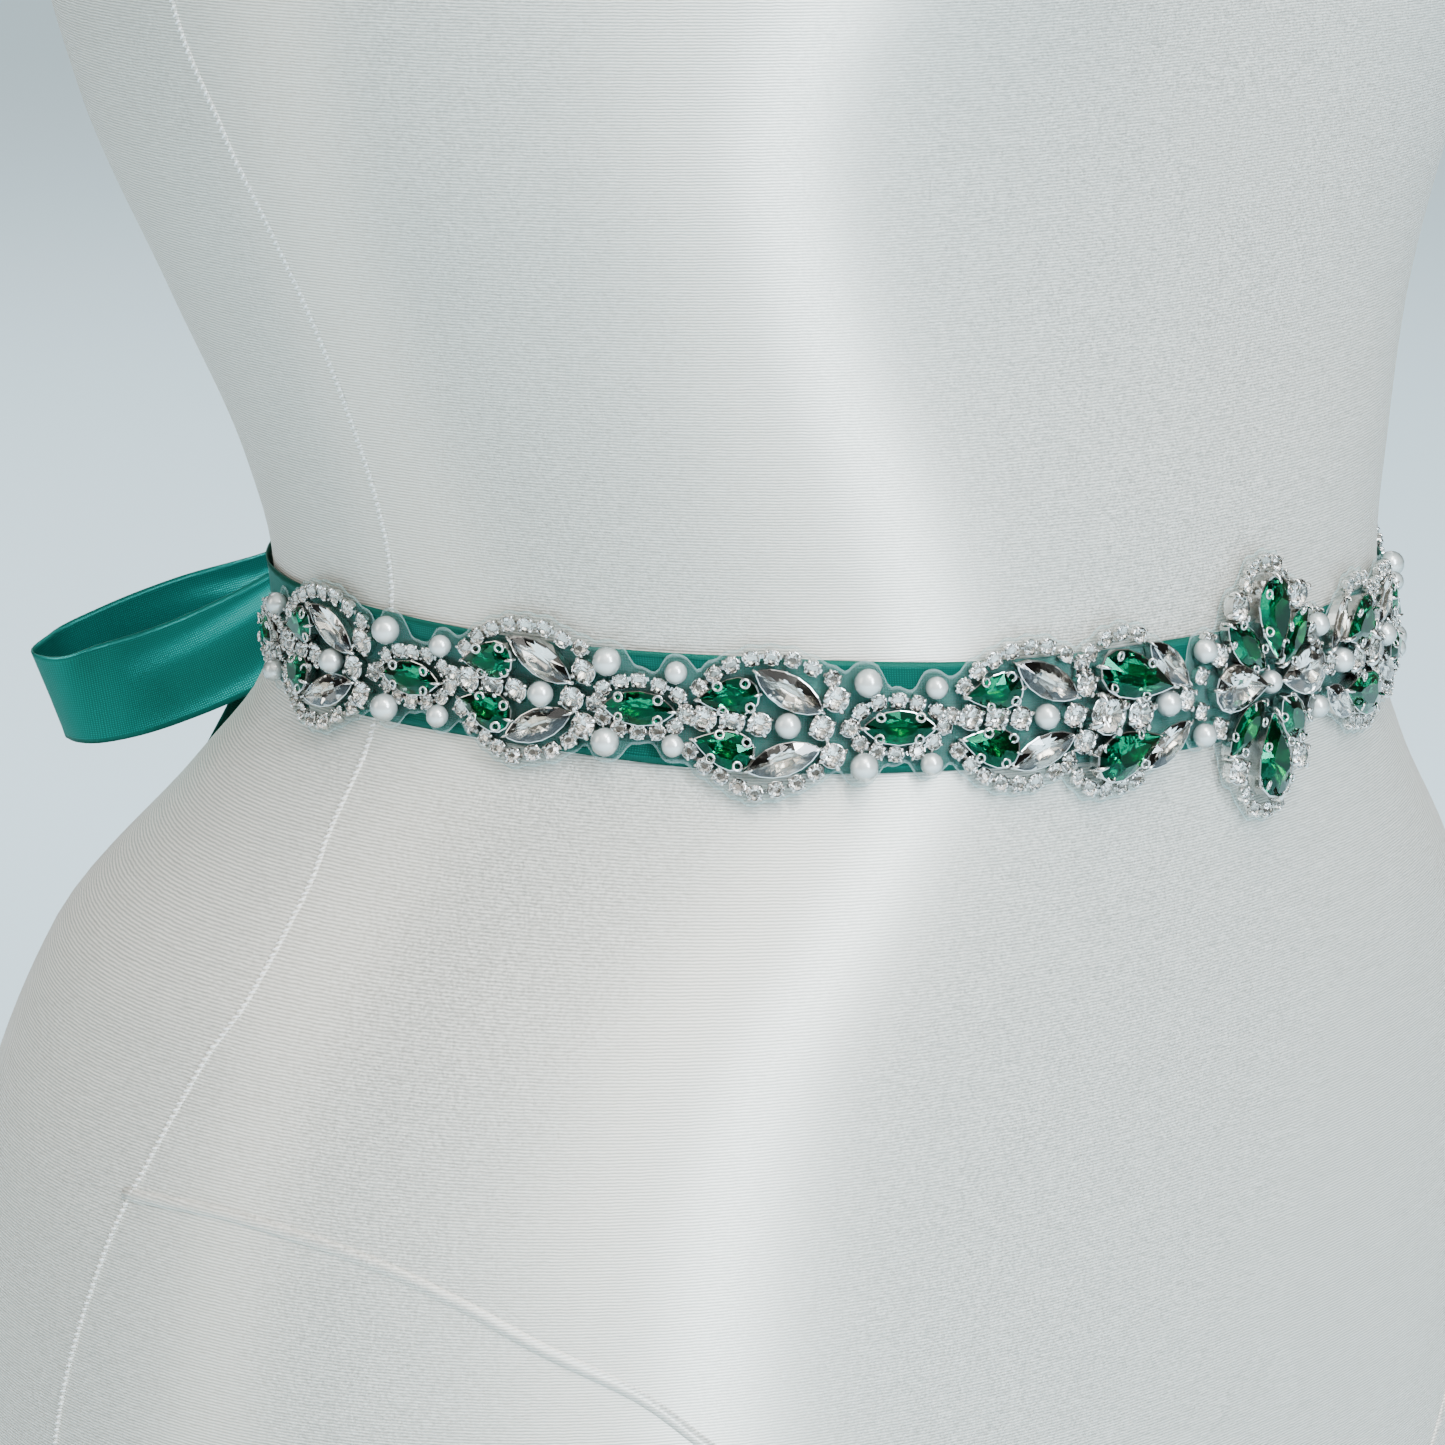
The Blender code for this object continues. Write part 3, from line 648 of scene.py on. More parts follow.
def strip(name, stations, samples, waves, phase, mirror, cut=0.0, cols=17):
    """A ribbon through its stations, and the length of its middle line."""
    table = np.array(stations, float)
    gone = np.linalg.norm(np.diff(table[:, :3], axis=0), axis=1)
    along = np.append(0, np.cumsum(gone))
    at = np.linspace(0, along[-1], samples)
    tangents = np.gradient(table[:, :7], along, axis=0)
    i = np.clip(np.searchsorted(along, at) - 1, 0, len(along) - 2)
    h = (along[i + 1] - along[i])[:, None]
    f = ((at - along[i]) / h[:, 0])[:, None]
    rows = (
        table[i, :7] * (1 + 2 * f) * (1 - f) ** 2
        + h * tangents[i] * f * (1 - f) ** 2
        + table[i + 1, :7] * f**2 * (3 - 2 * f)
        - h * tangents[i + 1] * f**2 * (1 - f)
    )
    fold = np.interp(at, along, table[:, 7])[:, None]
    middle = rows[:, :3]
    tangent = np.gradient(middle, at, axis=0)
    tangent /= np.linalg.norm(tangent, axis=1, keepdims=True)
    across = rows[:, 4:7] - tangent * (rows[:, 4:7] * tangent).sum(1, keepdims=True)
    across /= np.linalg.norm(across, axis=1, keepdims=True)
    out = np.cross(tangent, across)
    v = np.linspace(-1, 1, cols)[None, :]
    bend = fold * np.cos(np.pi * waves * v + phase + at[:, None] * 0.035)
    grid = (
        middle[:, None]
        + across[:, None] * (rows[:, 3:4] * v)[..., None]
        + out[:, None] * bend[..., None]
    )
    grid[-1] += tangent[-1] * (cut * v[0])[:, None]
    if cut:
        grid = clear_of_back(grid, 1.7)
    n = np.cross(np.gradient(grid, axis=0), np.gradient(grid, axis=1))
    n /= np.linalg.norm(n, axis=2, keepdims=True)
    inner, outer = grid + n * SHEER_WALL / 2, grid - n * SHEER_WALL / 2
    if mirror:
        outer, inner = inner * (-1, 1, 1), outer * (-1, 1, 1)
    flat = np.stack(np.broadcast_arrays(at[:, None], RIBBON / 2 * v), -1)
    return wall(name, outer, inner, SATIN, flat), along[-1]


def build_bow():
    for side, mirror in (("right", False), ("left", True)):
        loop, long = strip(f"satin_loop_{side}", LOOP, 150, 1.5, 0.4, mirror)
        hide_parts(f"bow_loop_{side}")
        tail, long = strip(f"satin_tail_{side}", TAIL, 170, 1.25, 0.9, mirror, cut=4.0)
        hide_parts(f"tail_{side}")


build_bow()


# %% [markdown]
# The knot is a short stretch of the same ribbon wrapped round the middle. Gathered to
# its width it makes soft ridges that run round with it.


# %% Knot
def build_knot():
    turn = np.linspace(0, 2 * np.pi, 72, endpoint=False)[:, None]
    v = np.linspace(-1, 1, 25)[None, :]
    ridges = 0.45 * np.cos(3 * np.pi * v + 0.6 * np.sin(2 * turn))
    bulge = 1.6 * (1 - v**2) + ridges
    front = np.clip(np.sin(turn) + 0.3, 0, 1)

    def ring(more):
        c, s = np.cos(turn), np.sin(turn)
        deep = 7.7 + more + bulge * front
        high = 10.6 + more + 0.5 * bulge
        y = 87.0 + deep * np.sign(s) * np.abs(s) ** (2 / 2.8)
        z = 1.6 + high * np.sign(c) * np.abs(c) ** (2 / 2.8)
        x = v * (8.6 + 0.5 * np.cos(2 * turn + 0.5)) + 0 * turn
        return np.stack([x, y, z], -1)

    flat = np.stack(np.broadcast_arrays(turn / (2 * np.pi) * 64, RIBBON / 2 * v), -1)
    knot = wall("satin_knot", ring(0.8), ring(0.35), SATIN, flat, closed=True)
    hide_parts("knot_wrap")


build_knot()

# %% [markdown]
# ## The applique, drawn flat
#
# The stones follow a plan that repeats: a leaf cluster, then an oval link. Beside the
# flower at the front centre stands a larger cluster. We draw each unit once, in
# millimetres from its pearl, and mirror the whole plan about the front.

# %% Plans: kind, colour, s, t, to s, to t, wide
CLUSTER = (
    ("pearl", "pearl", 0, 0, 0, 0, 4.6),
    ("round", "clear", -13.9, 0.5, 0, 0, 4.1),
    ("round", "clear", -9.2, 0.3, 0, 0, 4.1),
    ("round", "clear", -4.7, 0.0, 0, 0, 3.9),
    ("pear", "green", -4.9, 5.6, -14.8, 3.9, 6.2),
    ("pear", "green", -5.2, -5.7, -15.2, -3.4, 6.3),
    ("navette", "clear", -5.2, 9.3, 5.6, 2.8, 5.5),
    ("navette", "clear", -5.6, -8.6, 5.4, -3.3, 5.3),
    ("round", "clear", 7.9, 4.9, 0, 0, 4.1),
    ("round", "clear", 5.6, -0.2, 0, 0, 4.0),
    ("round", "clear", 7.9, -5.0, 0, 0, 4.1),
    ("round", "clear", 10.1, -0.3, 0, 0, 2.8),
    ("round", "clear", -17.2, 0.9, 0, 0, 2.8),
)
LINK = (
    ("navette", "green", -6.0, 0, 6.0, 0, 5.7),
    ("pearl", "pearl", -5.2, 7.8, 0, 0, 5.0),
    ("pearl", "pearl", 6.4, 6.8, 0, 0, 4.0),
    ("pearl", "pearl", -5.2, -6.8, 0, 0, 5.0),
    ("pearl", "pearl", 6.2, -6.3, 0, 0, 4.0),
)
SHOULDER = (
    ("pearl", "pearl", 0, 0, 0, 0, 4.8),
    ("round", "clear", -13.7, -0.4, 0, 0, 6.8),
    ("round", "clear", -6.4, -1.1, 0, 0, 5.4),
    ("round", "clear", 4.6, 0.2, 0, 0, 4.1),
    ("pear", "green", -14.8, 7.4, -0.2, 3.4, 8.0),
    ("pear", "green", -16.0, -9.4, -0.8, -5.6, 7.8),
    ("navette", "clear", -4.0, 10.5, 5.0, 2.8, 5.0),
    ("navette", "clear", -4.4, -10.7, 5.8, -4.0, 5.0),
    ("pearl", "pearl", 9.2, 7.8, 0, 0, 4.4),
    ("pearl", "pearl", 9.4, -6.8, 0, 0, 4.4),
    ("round", "clear", 8.6, 3.6, 0, 0, 3.0),
    ("round", "clear", 8.8, -2.6, 0, 0, 3.0),
)
FLOWER = (
    ("pearl", "pearl", 0, 0, 0, 0, 4.4),
    ("pear", "green", 0, 18.4, 0, 4.0, 9.4),
    ("pear", "green", 0, -20.2, 0, -5.4, 9.4),
    ("pear", "clear", 15.8, 0.8, 2.8, 0, 8.2),
    ("pear", "clear", -15.8, 0.8, -2.8, 0, 8.2),
    ("navette", "green", -12.6, 11.4, -2.2, 2.8, 6.2),
    ("navette", "green", 12.6, 11.4, 2.2, 2.8, 6.2),
    ("navette", "green", -11.8, -11.4, -2.2, -3.2, 6.2),
    ("navette", "green", 11.8, -11.4, 2.2, -3.2, 6.2),
    ("round", "clear", -8.8, 14.2, 0, 0, 5.0),
    ("round", "clear", 8.8, 14.2, 0, 0, 5.0),
    ("round", "clear", -14.2, 6.4, 0, 0, 4.0),
    ("round", "clear", 14.2, 6.4, 0, 0, 4.0),
    ("round", "clear", -16.6, 9.2, 0, 0, 3.0),
    ("round", "clear", 16.6, 9.2, 0, 0, 3.0),
    ("round", "clear", -8.9, -14.6, 0, 0, 4.6),
    ("round", "clear", 8.9, -14.6, 0, 0, 4.6),
    ("round", "clear", -13.9, -6.2, 0, 0, 3.6),
    ("round", "clear", 13.9, -6.2, 0, 0, 3.6),
)
# Lines of small cup chain beside the stones of each unit
CHAINS = {
    "cluster": (
        ((-14.8, 5.9), (-11.8, 8.7), (-7.8, 10.8), (-3.4, 11.9), (0.9, 11.6), (4.3, 10.1),
         (7.4, 8.4)),
        ((-15.6, -5.4), (-12.5, -8.2), (-8.6, -10.2), (-4.9, -11.8), (-1.0, -11.4),
         (2.8, -9.8), (5.6, -7.9)),
    ),
    "shoulder": (
        ((-18.0, 7.0), (-15.8, 10.4), (-12.8, 12.4), (-8.8, 13.2), (-5.7, 12.2)),
        ((-19.9, -8.5), (-17.2, -12.0), (-13.2, -14.2), (-8.5, -13.4), (-5.1, -12.6)),
    ),
    "flower": (
        ((-5.4, 17.6), (-3.9, 20.2), (-1.2, 21.2), (1.2, 21.2), (3.9, 20.2), (5.4, 17.6)),
        ((-5.6, -19.4), (-3.9, -22.0), (-1.2, -23.0), (1.2, -23.0), (3.9, -22.0), (5.6, -19.4)),
    ),
    "link": (),
}  # fmt: skip
LINK_OVAL = (7.9, 4.6)  # half length and half height of the oval of chain round a link
# Where the middle of each unit is sewn; all but the flower have a twin on the left
PLACES = (
    ("flower", -1.2, -0.4),
    ("shoulder", 26.1, -0.5),
    ("cluster", 51.5, -0.5),
    ("link", 77.7, -1.5),
    ("cluster", 96.2, -1.5),
    ("link", 121.0, 0.0),
    ("cluster", 138.4, 0.6),
    ("link", 164.4, -0.6),
    ("cluster", 183.6, -1.1),
    ("link", 209.6, -1.6),
)
UNITS = {"flower": FLOWER, "shoulder": SHOULDER, "cluster": CLUSTER, "link": LINK}
CHAIN_PITCH = 3.45
CHAIN_STONE = 2.65


# %% The whole plan
def all_stones():
    rows = []
    for unit, place, up in PLACES:
        for side in (1,) if unit == "flower" else (1, -1):
            for kind, colour, s, t, to_s, to_t, wide in UNITS[unit]:
                if place > 200 and kind == "pearl" and s < 0:
                    continue  # the last link ends without its outer pearls
                ends = side * (place - s), up + t, side * (place - to_s), up + to_t
                rows.append((kind, colour, *ends, wide))
    return rows


def resampled(line, pitch, closed):
    """Points an even pitch apart on a line, and the way it runs at each."""
    line = np.array(line, float)
    if closed:
        line = np.concatenate([line, line[:1]])
    gone = np.append(0, np.cumsum(np.linalg.norm(np.diff(line, axis=0), axis=1)))
    count = max(2, int(round(gone[-1] / pitch)) + (0 if closed else 1))
    at = np.linspace(0, gone[-1], count, endpoint=not closed)
    here, ahead, behind = (
        np.stack([np.interp(at + more, gone, line[:, k]) for k in (0, 1)], -1)
        for more in (0, 0.4, -0.4)
    )
    return here, ahead - behind


def all_chains():
    """Places of the chain's stones on the flat plan, and the way the chain runs."""
    turn = np.linspace(0, 2 * np.pi, 60, endpoint=False)
    oval = [(LINK_OVAL[0] * np.cos(w), LINK_OVAL[1] * np.sin(w)) for w in turn]
    made = []
    for unit, place, up in PLACES:
        lines = [oval] if unit == "link" else CHAINS[unit]
        for side in (1,) if unit == "flower" else (1, -1):
            for line in lines:
                laid_out = [(side * (place - s), up + t) for s, t in line]
                made.append(resampled(laid_out, CHAIN_PITCH, unit == "link"))
    spots, ways = (np.concatenate([m[k] for m in made]) for k in (0, 1))
    return spots + CHANCE.normal(0, 0.12, spots.shape), ways


CHANCE = np.random.default_rng(11)
STONES = all_stones()
CHAIN_SPOTS, CHAIN_WAYS = all_chains()
print(f"{len(STONES)} stones and pearls, {len(CHAIN_SPOTS)} chain stones")

# %% [markdown]
# ## The net backing
#
# The net is cut close round the stones, so its edge runs in scallops. We find that edge
# from the stones themselves: at each step along the sash, the furthest stone above and
# below, and a small margin.


# %% Net backing
MARGIN = 1.0  # of net past the stones


def reach_of(s, up):
    """How far the net reaches above (up 1) or below (up -1) the middle line."""
    marks = [(a, t, w / 2) for k, _, a, t, _, _, w in STONES if k in ("round", "pearl")]
    for k, _, a, t, b, r, w in STONES:
        if k not in ("round", "pearl"):
            marks += [(a + (b - a) * f, t + (r - t) * f, w * h)
                      for f, h in ((0.2, 0.4), (0.5, 0.42), (0.8, 0.25))]  # fmt: skip
    marks += [(a, t, CHAIN_STONE / 2) for a, t in CHAIN_SPOTS]
    reach = np.full_like(s, 4.0)
    for x, y, r in marks:
        wide = r + MARGIN
        inside = wide**2 - (s - x) ** 2
        reach = np.maximum(reach, np.where(inside > 0, up * y + np.sqrt(np.abs(inside)), 0))
    soft = np.array((1, 2, 1), float) / 4
    return np.convolve(np.pad(reach, 1, "edge"), soft, "valid")


def build_net():
    end = PLACES[-1][1] + 10.6
    s = np.linspace(-end, end, 620)
    top, low = reach_of(s, 1), -reach_of(s, -1)
    close = np.clip((end - np.abs(s)) / 3.2, 0, 1) ** 0.5
    top, low = top * close + 0.01, low * close - 0.01
    edge = np.array((0, 0.35, 0.8))  # how far in the sealed edge's points lie
    inside = np.linspace(0, 1, 9)[1:-1]
    cols = []
    for e in edge:
        cols.append(low + np.minimum(e, (top - low) * 0.2))
    for f in inside:
        cols.append(low + (top - low) * (0.08 + 0.84 * f))
    for e in edge[::-1]:
        cols.append(top - np.minimum(e, (top - low) * 0.2))
    t = np.stack(cols, 1)
    s2 = np.broadcast_to(s[:, None], t.shape)
    ripple = 0.06 * np.sin(s2 / 2.1 + t)
    flat = np.stack([s2, t], -1)
    net = wall("applique_net", laid(s2, t, 1.62 + ripple), laid(s2, t, 1.5 + ripple), NET,
               flat)  # fmt: skip
    rim = np.zeros(t.shape)
    rim[:, [0, -1]], rim[:, [1, -2]] = 1.0, 0.8
    rim[[0, 1, -2, -1], :] = 1.0
    layer = net.data.attributes.new("rim", "FLOAT", "POINT")
    layer.data.foreach_set("value", np.concatenate([rim.ravel()] * 2))
    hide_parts("applique")


build_net()

# %% [markdown]
# ## Cutting the stones
#
# One function cuts every stone. It takes an outline of sixteen points and builds a flat
# table, a crown of small faces, and a deep back that throws light to the front. The
# outlines are of unit size, so a stone is stretched to its own length and width.

# %% Outlines of unit size
SIXTEEN = np.arange(16) * np.pi / 8
ROUND_LINE = np.stack([np.cos(SIXTEEN), np.sin(SIXTEEN)], -1) / 2
PEAR_LINE = np.stack([np.cos(SIXTEEN), np.sin(SIXTEEN) * np.abs(np.sin(SIXTEEN / 2)) / 0.77], -1) / 2
NAVETTE_LINE = np.stack(
    [np.cos(SIXTEEN), np.sin(SIXTEEN) * np.abs(np.sin(SIXTEEN)) ** 0.55], -1
) / 2  # fmt: skip
CROWN, PAVILION = 0.36, 0.64  # shares of a stone's height above and below its edge


def template(name, points, faces, smooth=False):
    """A small mesh in metres, made once and repeated by the setting nodes."""
    mesh = bpy.data.meshes.new(name)
    mesh.from_pydata((np.asarray(points, float) / 1000).tolist(), [], faces)
    mesh.update()
    mesh.polygons.foreach_set("use_smooth", [smooth] * len(mesh.polygons))
    made = bpy.data.objects.new(name, mesh)
    bpy.context.scene.collection.objects.link(made)
    return made


def cut_stone(name, line):
    """A faceted stone: sixteen points at its edge, eight round its table."""
    table = line[::2] * 0.52
    keel = line[::2] * (0.30, 0.04)
    points = [(x, y, 0) for x, y in line]
    points += [(x, y, CROWN) for x, y in table]
    points += [(x, y, -PAVILION) for x, y in keel]
    faces = [tuple(16 + k for k in range(8))]
    for j in range(8):
        here, after, nxt = 2 * j, 2 * j + 1, (2 * j + 2) % 16
        before, to = (2 * j - 1) % 16, 16 + (j + 1) % 8
        faces += [(before, here, 16 + j), (here, after, 16 + j), (after, to, 16 + j)]
        k, k2 = 24 + j, 24 + (j + 1) % 8
        faces += [(after, here, k), (nxt, after, k2), (after, k, k2)]
    faces.append(tuple(31 - k for k in range(8)))
    return template(name, points, faces)


def cut_cup(name, line, wide):
    """The plated cup under a stone, its inside following the stone's back."""
    rings = (
        (line * (wide - 0.04), -PAVILION - 0.14),
        (line * wide, -0.02),
        (line * 1.012, 0.0),
        (line * 1.0, -0.07),
        (line * (0.36, 0.12), -PAVILION - 0.05),
    )
    points = [(x, y, z) for ring, z in rings for x, y in ring]
    faces = []
    for r in range(len(rings) - 1):
        for k in range(16):
            a, b = r * 16 + k, r * 16 + (k + 1) % 16
            faces.append((a, b, b + 16, a + 16))
    last = (len(rings) - 1) * 16
    faces.append(tuple(last + k for k in range(16)))
    faces.append(tuple(15 - k for k in range(16)))
    return template(name, points, faces)


# %% [markdown]
# A stone is held by small bent claws, and the large green stones by little wire rings
# at their corners, which also take the thread that sews them on.


# %% Claws, rings and beads
def make_claws(name, spots, size):
    """Bent claws round a stone of unit size, leaning in over its edge."""
    points, faces = [], []
    for x, y in spots:
        first, out = len(points), Vector((x, y, 0))
        inward = -out.normalized()
        for z, shift, r in ((-0.5, 0.0, 1.0), (0.1, 0.0, 1.05), (0.3, 0.6, 0.9), (0.4, 1.5, 0.45)):
            centre = out + inward * shift * size
            for k in range(6):
                a = k * np.pi / 3
                points.append((centre.x + size * r * np.cos(a), centre.y + size * r * np.sin(a), z))
        for ring in range(3):
            for k in range(6):
                a, b = first + ring * 6 + k, first + ring * 6 + (k + 1) % 6
                faces.append((a, b, b + 6, a + 6))
        faces.append(tuple(first + 18 + k for k in range(6)))
        faces.append(tuple(first + 5 - k for k in range(6)))
    return template(name, points, faces, smooth=True)


def make_torus(name, major, minor, around=14, sides=7):
    points, faces = [], []
    for i in range(around):
        a = 2 * np.pi * i / around
        for k in range(sides):
            b = 2 * np.pi * k / sides
            r = major + minor * np.cos(b)
            points.append((r * np.cos(a), r * np.sin(a), minor * np.sin(b)))
    for i in range(around):
        for k in range(sides):
            a, b = i * sides + k, i * sides + (k + 1) % sides
            c, d = ((i + 1) % around) * sides + (k + 1) % sides, ((i + 1) % around) * sides + k
            faces.append((a, d, c, b))
    return template(name, points, faces, smooth=True)


def make_ball(name, rows=10, cols=16):
    points = [(0, 0, 0.5), (0, 0, -0.5)]
    for i in range(1, rows):
        a = np.pi * i / rows
        for k in range(cols):
            b = 2 * np.pi * k / cols
            points.append((np.sin(a) * np.cos(b) / 2, np.sin(a) * np.sin(b) / 2, np.cos(a) / 2))
    faces = []
    for k in range(cols):
        n = (k + 1) % cols
        faces += [(0, 2 + k, 2 + n), (1, 2 + (rows - 2) * cols + n, 2 + (rows - 2) * cols + k)]
        for i in range(rows - 2):
            a, b = 2 + i * cols + k, 2 + i * cols + n
            faces.append((a, a + cols, b + cols, b))
    return template(name, points, faces, smooth=True)


corner = 0.5 * np.cos(np.pi / 4)
CUT = {
    "round": cut_stone("round_stone", ROUND_LINE),
    "pear": cut_stone("pear_stone", PEAR_LINE),
    "navette": cut_stone("navette_stone", NAVETTE_LINE),
}
CUP = {
    "round": cut_cup("round_cup", ROUND_LINE, 1.06),
    "pear": cut_cup("pear_cup", PEAR_LINE, 1.06),
    "navette": cut_cup("navette_cup", NAVETTE_LINE, 1.06),
}
FOUR_CLAWS = make_claws(
    "four_claws", [(a * corner * 1.1, b * corner * 1.1) for a in (1, -1) for b in (1, -1)], 0.11
)
TIP_CLAWS = make_claws("tip_claws", [(0.53, 0), (-0.53, 0)], 0.05)
WIRE_RING = make_torus("wire_ring", 0.5, 0.17)
BEAD = make_ball("bead")

# %% [markdown]
# ## Setting the stones
#
# Placing hundreds of stones by hand would be slow, and each has to stand square to a
# curved surface. Geometry Nodes repeat a stone on a cloud of points: each point carries
# its own turn and size, and the tree ends by making one plain mesh with its finish.


# %% The setting tree
def make_setting_tree():
    tree = bpy.data.node_groups.new("set_on_points", "GeometryNodeTree")
    for name, kind in (
        ("Geometry", "NodeSocketGeometry"),
        ("Stone", "NodeSocketObject"),
        ("Finish", "NodeSocketMaterial"),
        ("Overall Size", "NodeSocketFloat"),
    ):
        tree.interface.new_socket(name, in_out="INPUT", socket_type=kind)
    tree.interface.new_socket("Geometry", in_out="OUTPUT", socket_type="NodeSocketGeometry")
    node = tree.nodes.new
    inputs, outputs = node("NodeGroupInput"), node("NodeGroupOutput")
    stone, place = node("GeometryNodeObjectInfo"), node("GeometryNodeInstanceOnPoints")
    turn, size = (node("GeometryNodeInputNamedAttribute") for _ in range(2))
    turn.data_type = size.data_type = "FLOAT_VECTOR"
    turn.inputs["Name"].default_value = "turn"
    size.inputs["Name"].default_value = "size"
    rotate, scale = node("FunctionNodeEulerToRotation"), node("ShaderNodeVectorMath")
    scale.operation = "SCALE"
    solid, finish = node("GeometryNodeRealizeInstances"), node("GeometryNodeSetMaterial")
    link_chain(
        tree,
        (inputs.outputs["Geometry"], place.inputs["Points"]),
        (inputs.outputs["Stone"], stone.inputs["Object"]),
        (stone.outputs["Geometry"], place.inputs["Instance"]),
        (turn.outputs["Attribute"], rotate.inputs[0]),
        (rotate.outputs[0], place.inputs["Rotation"]),
        (size.outputs["Attribute"], scale.inputs[0]),
        (inputs.outputs["Overall Size"], scale.inputs["Scale"]),
        (scale.outputs[0], place.inputs["Scale"]),
        (place.outputs[0], solid.inputs[0]),
        (solid.outputs[0], finish.inputs["Geometry"]),
        (inputs.outputs["Finish"], finish.inputs["Material"]),
        (finish.outputs[0], outputs.inputs[0]),
    )
    return tree


SETTING = make_setting_tree()


def set_on_points(name, stone, spots, turns, sizes, finish):
    """Repeats a template on points in millimetres and returns one plain mesh."""
    points = (np.asarray(spots, float) + (0, 0, WAIST_Z)) / 1000
    cloud = bpy.data.meshes.new(name + "_points")
    cloud.from_pydata(points.tolist(), [], [])
    for key, values in (("turn", turns), ("size", sizes)):
        layer = cloud.attributes.new(key, "FLOAT_VECTOR", "POINT")
        layer.data.foreach_set("vector", np.asarray(values, float).ravel())
    holder = bpy.data.objects.new(name + "_points", cloud)
    bpy.context.scene.collection.objects.link(holder)
    modifier = holder.modifiers.new("set", "NODES")
    modifier.node_group = SETTING
    keys = {i.name: i.identifier for i in SETTING.interface.items_tree if i.in_out == "INPUT"}
    modifier[keys["Stone"]] = stone
    modifier[keys["Finish"]] = finish
    modifier[keys["Overall Size"]] = 1.0
    bpy.context.view_layer.update()
    graph = bpy.context.evaluated_depsgraph_get()
    mesh = bpy.data.meshes.new_from_object(holder.evaluated_get(graph))
    bpy.data.objects.remove(holder)
    for key in ("turn", "size"):
        if key in mesh.attributes:
            mesh.attributes.remove(mesh.attributes[key])
    mesh.name = name
    piece = bpy.data.objects.new(name, mesh)
    bpy.context.scene.collection.objects.link(piece)
    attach(piece, "root")
    print(f"{name}: {len(points)} set, {len(mesh.polygons)} faces")
    return piece


# %% [markdown]
# A stone's turn comes from the cloth under it. One axis follows the stone's own length
# on the flat plan, one stands off the form, and a few degrees of chance keep two
# neighbours from flashing alike.


# %% Turns on the form
def turns_at(s, t, ds, dt, off, loose=0.0):
    """Places and Euler turns of things set at flat places s, t along ds, dt."""
    s, t, ds, dt = (np.asarray(v, float) for v in (s, t, ds, dt))
    size = np.hypot(ds, dt)
    ds, dt = ds / size, dt / size
    spots = laid(s, t, off)
    ahead = laid(s + 0.3 * ds, t + 0.3 * dt, off) - laid(s - 0.3 * ds, t - 0.3 * dt, off)
    rise = laid(s, t, off + 1.0) - spots
    turns = []
    for a, z in zip(ahead, rise):
        z = Vector(z).normalized()
        x = Vector(a)
        x = (x - z * x.dot(z)).normalized()
        basis = Matrix((x, z.cross(x), z)).transposed()
        nudge = Euler(CHANCE.normal(0, 1, 3) * np.radians(loose) * (1, 1, 0.5)).to_matrix()
        turns.append(tuple((basis @ nudge).to_euler()))
    return spots, turns


NET_TOP = 1.66  # the net's outer face off the form
HIGH = {"round": 0.52, "pear": 0.40, "navette": 0.42}  # stone heights as shares of a width


def set_stones():
    groups = {}
    for kind, colour, s, t, to_s, to_t, wide in STONES:
        groups.setdefault((kind, colour), []).append((s, t, to_s, to_t, wide))
    cups = {}
    for (kind, colour), rows in groups.items():
        s, t, to_s, to_t, wide = np.array(rows, float).T
        if kind == "pearl":
            spots, turns = turns_at(s, t, 1 + 0 * s, 0 * s, NET_TOP + wide * 0.36)
            set_on_points("pearls", BEAD, spots, turns, np.stack([wide] * 3, 1),
                          FINISH["pearl"])  # fmt: skip
            continue
        if kind == "round":
            mid_s, mid_t, ds, dt, long = s, t, 1 + 0 * s, 0.35 + 0 * s, wide
        else:
            mid_s, mid_t, ds, dt = (s + to_s) / 2, (t + to_t) / 2, to_s - s, to_t - t
            long = np.hypot(ds, dt)
        high = HIGH[kind] * wide
        off = NET_TOP + 0.15 * high + PAVILION * high
        spots, turns = turns_at(mid_s, mid_t, ds, dt, off, loose=3.0)
        sizes = np.stack([long, wide, high], 1)
        set_on_points(f"{colour}_{kind}_stones", CUT[kind], spots, turns, sizes,
                      FINISH[colour])  # fmt: skip
        cups.setdefault(kind, []).append((spots, turns, sizes))
        claws = FOUR_CLAWS if kind == "round" else TIP_CLAWS
        set_on_points(f"{colour}_{kind}_claws", claws, spots, turns, sizes,
                      FINISH["plated"])  # fmt: skip
        if colour == "green":
            set_wire_rings(kind, mid_s, mid_t, ds, dt, long, wide, off + 0.24 * high)
    for kind, rows in cups.items():
        spots, turns, sizes = (np.concatenate([r[k] for r in rows]) for k in range(3))
        set_on_points(f"{kind}_cups", CUP[kind], spots, turns, sizes,
                      FINISH["plated"])  # fmt: skip


def set_wire_rings(kind, s, t, ds, dt, long, wide, off):
    """Four wire rings near the corners of each green stone."""
    corners = {
        "pear": ((-0.33, 0.34), (-0.33, -0.34), (0.13, 0.35), (0.13, -0.35)),
        "navette": ((-0.28, 0.34), (-0.28, -0.34), (0.28, 0.34), (0.28, -0.34)),
    }[kind]
    size = np.hypot(ds, dt)
    ax, ay = ds / size, dt / size
    at_s, at_t, offs = [], [], []
    for along, aside in corners:
        at_s.append(s + ax * long * along - ay * wide * aside)
        at_t.append(t + ay * long * along + ax * wide * aside)
        offs.append(off)
    at_s, at_t, offs = (np.concatenate(v) for v in (at_s, at_t, offs))
    spots, turns = turns_at(at_s, at_t, 1 + 0 * at_s, 0 * at_s, offs, loose=12.0)
    sizes = np.full((len(at_s), 3), 1.45)
    set_on_points(f"{kind}_wire_rings", WIRE_RING, spots, turns, sizes,
                  FINISH["plated"])  # fmt: skip


set_stones()

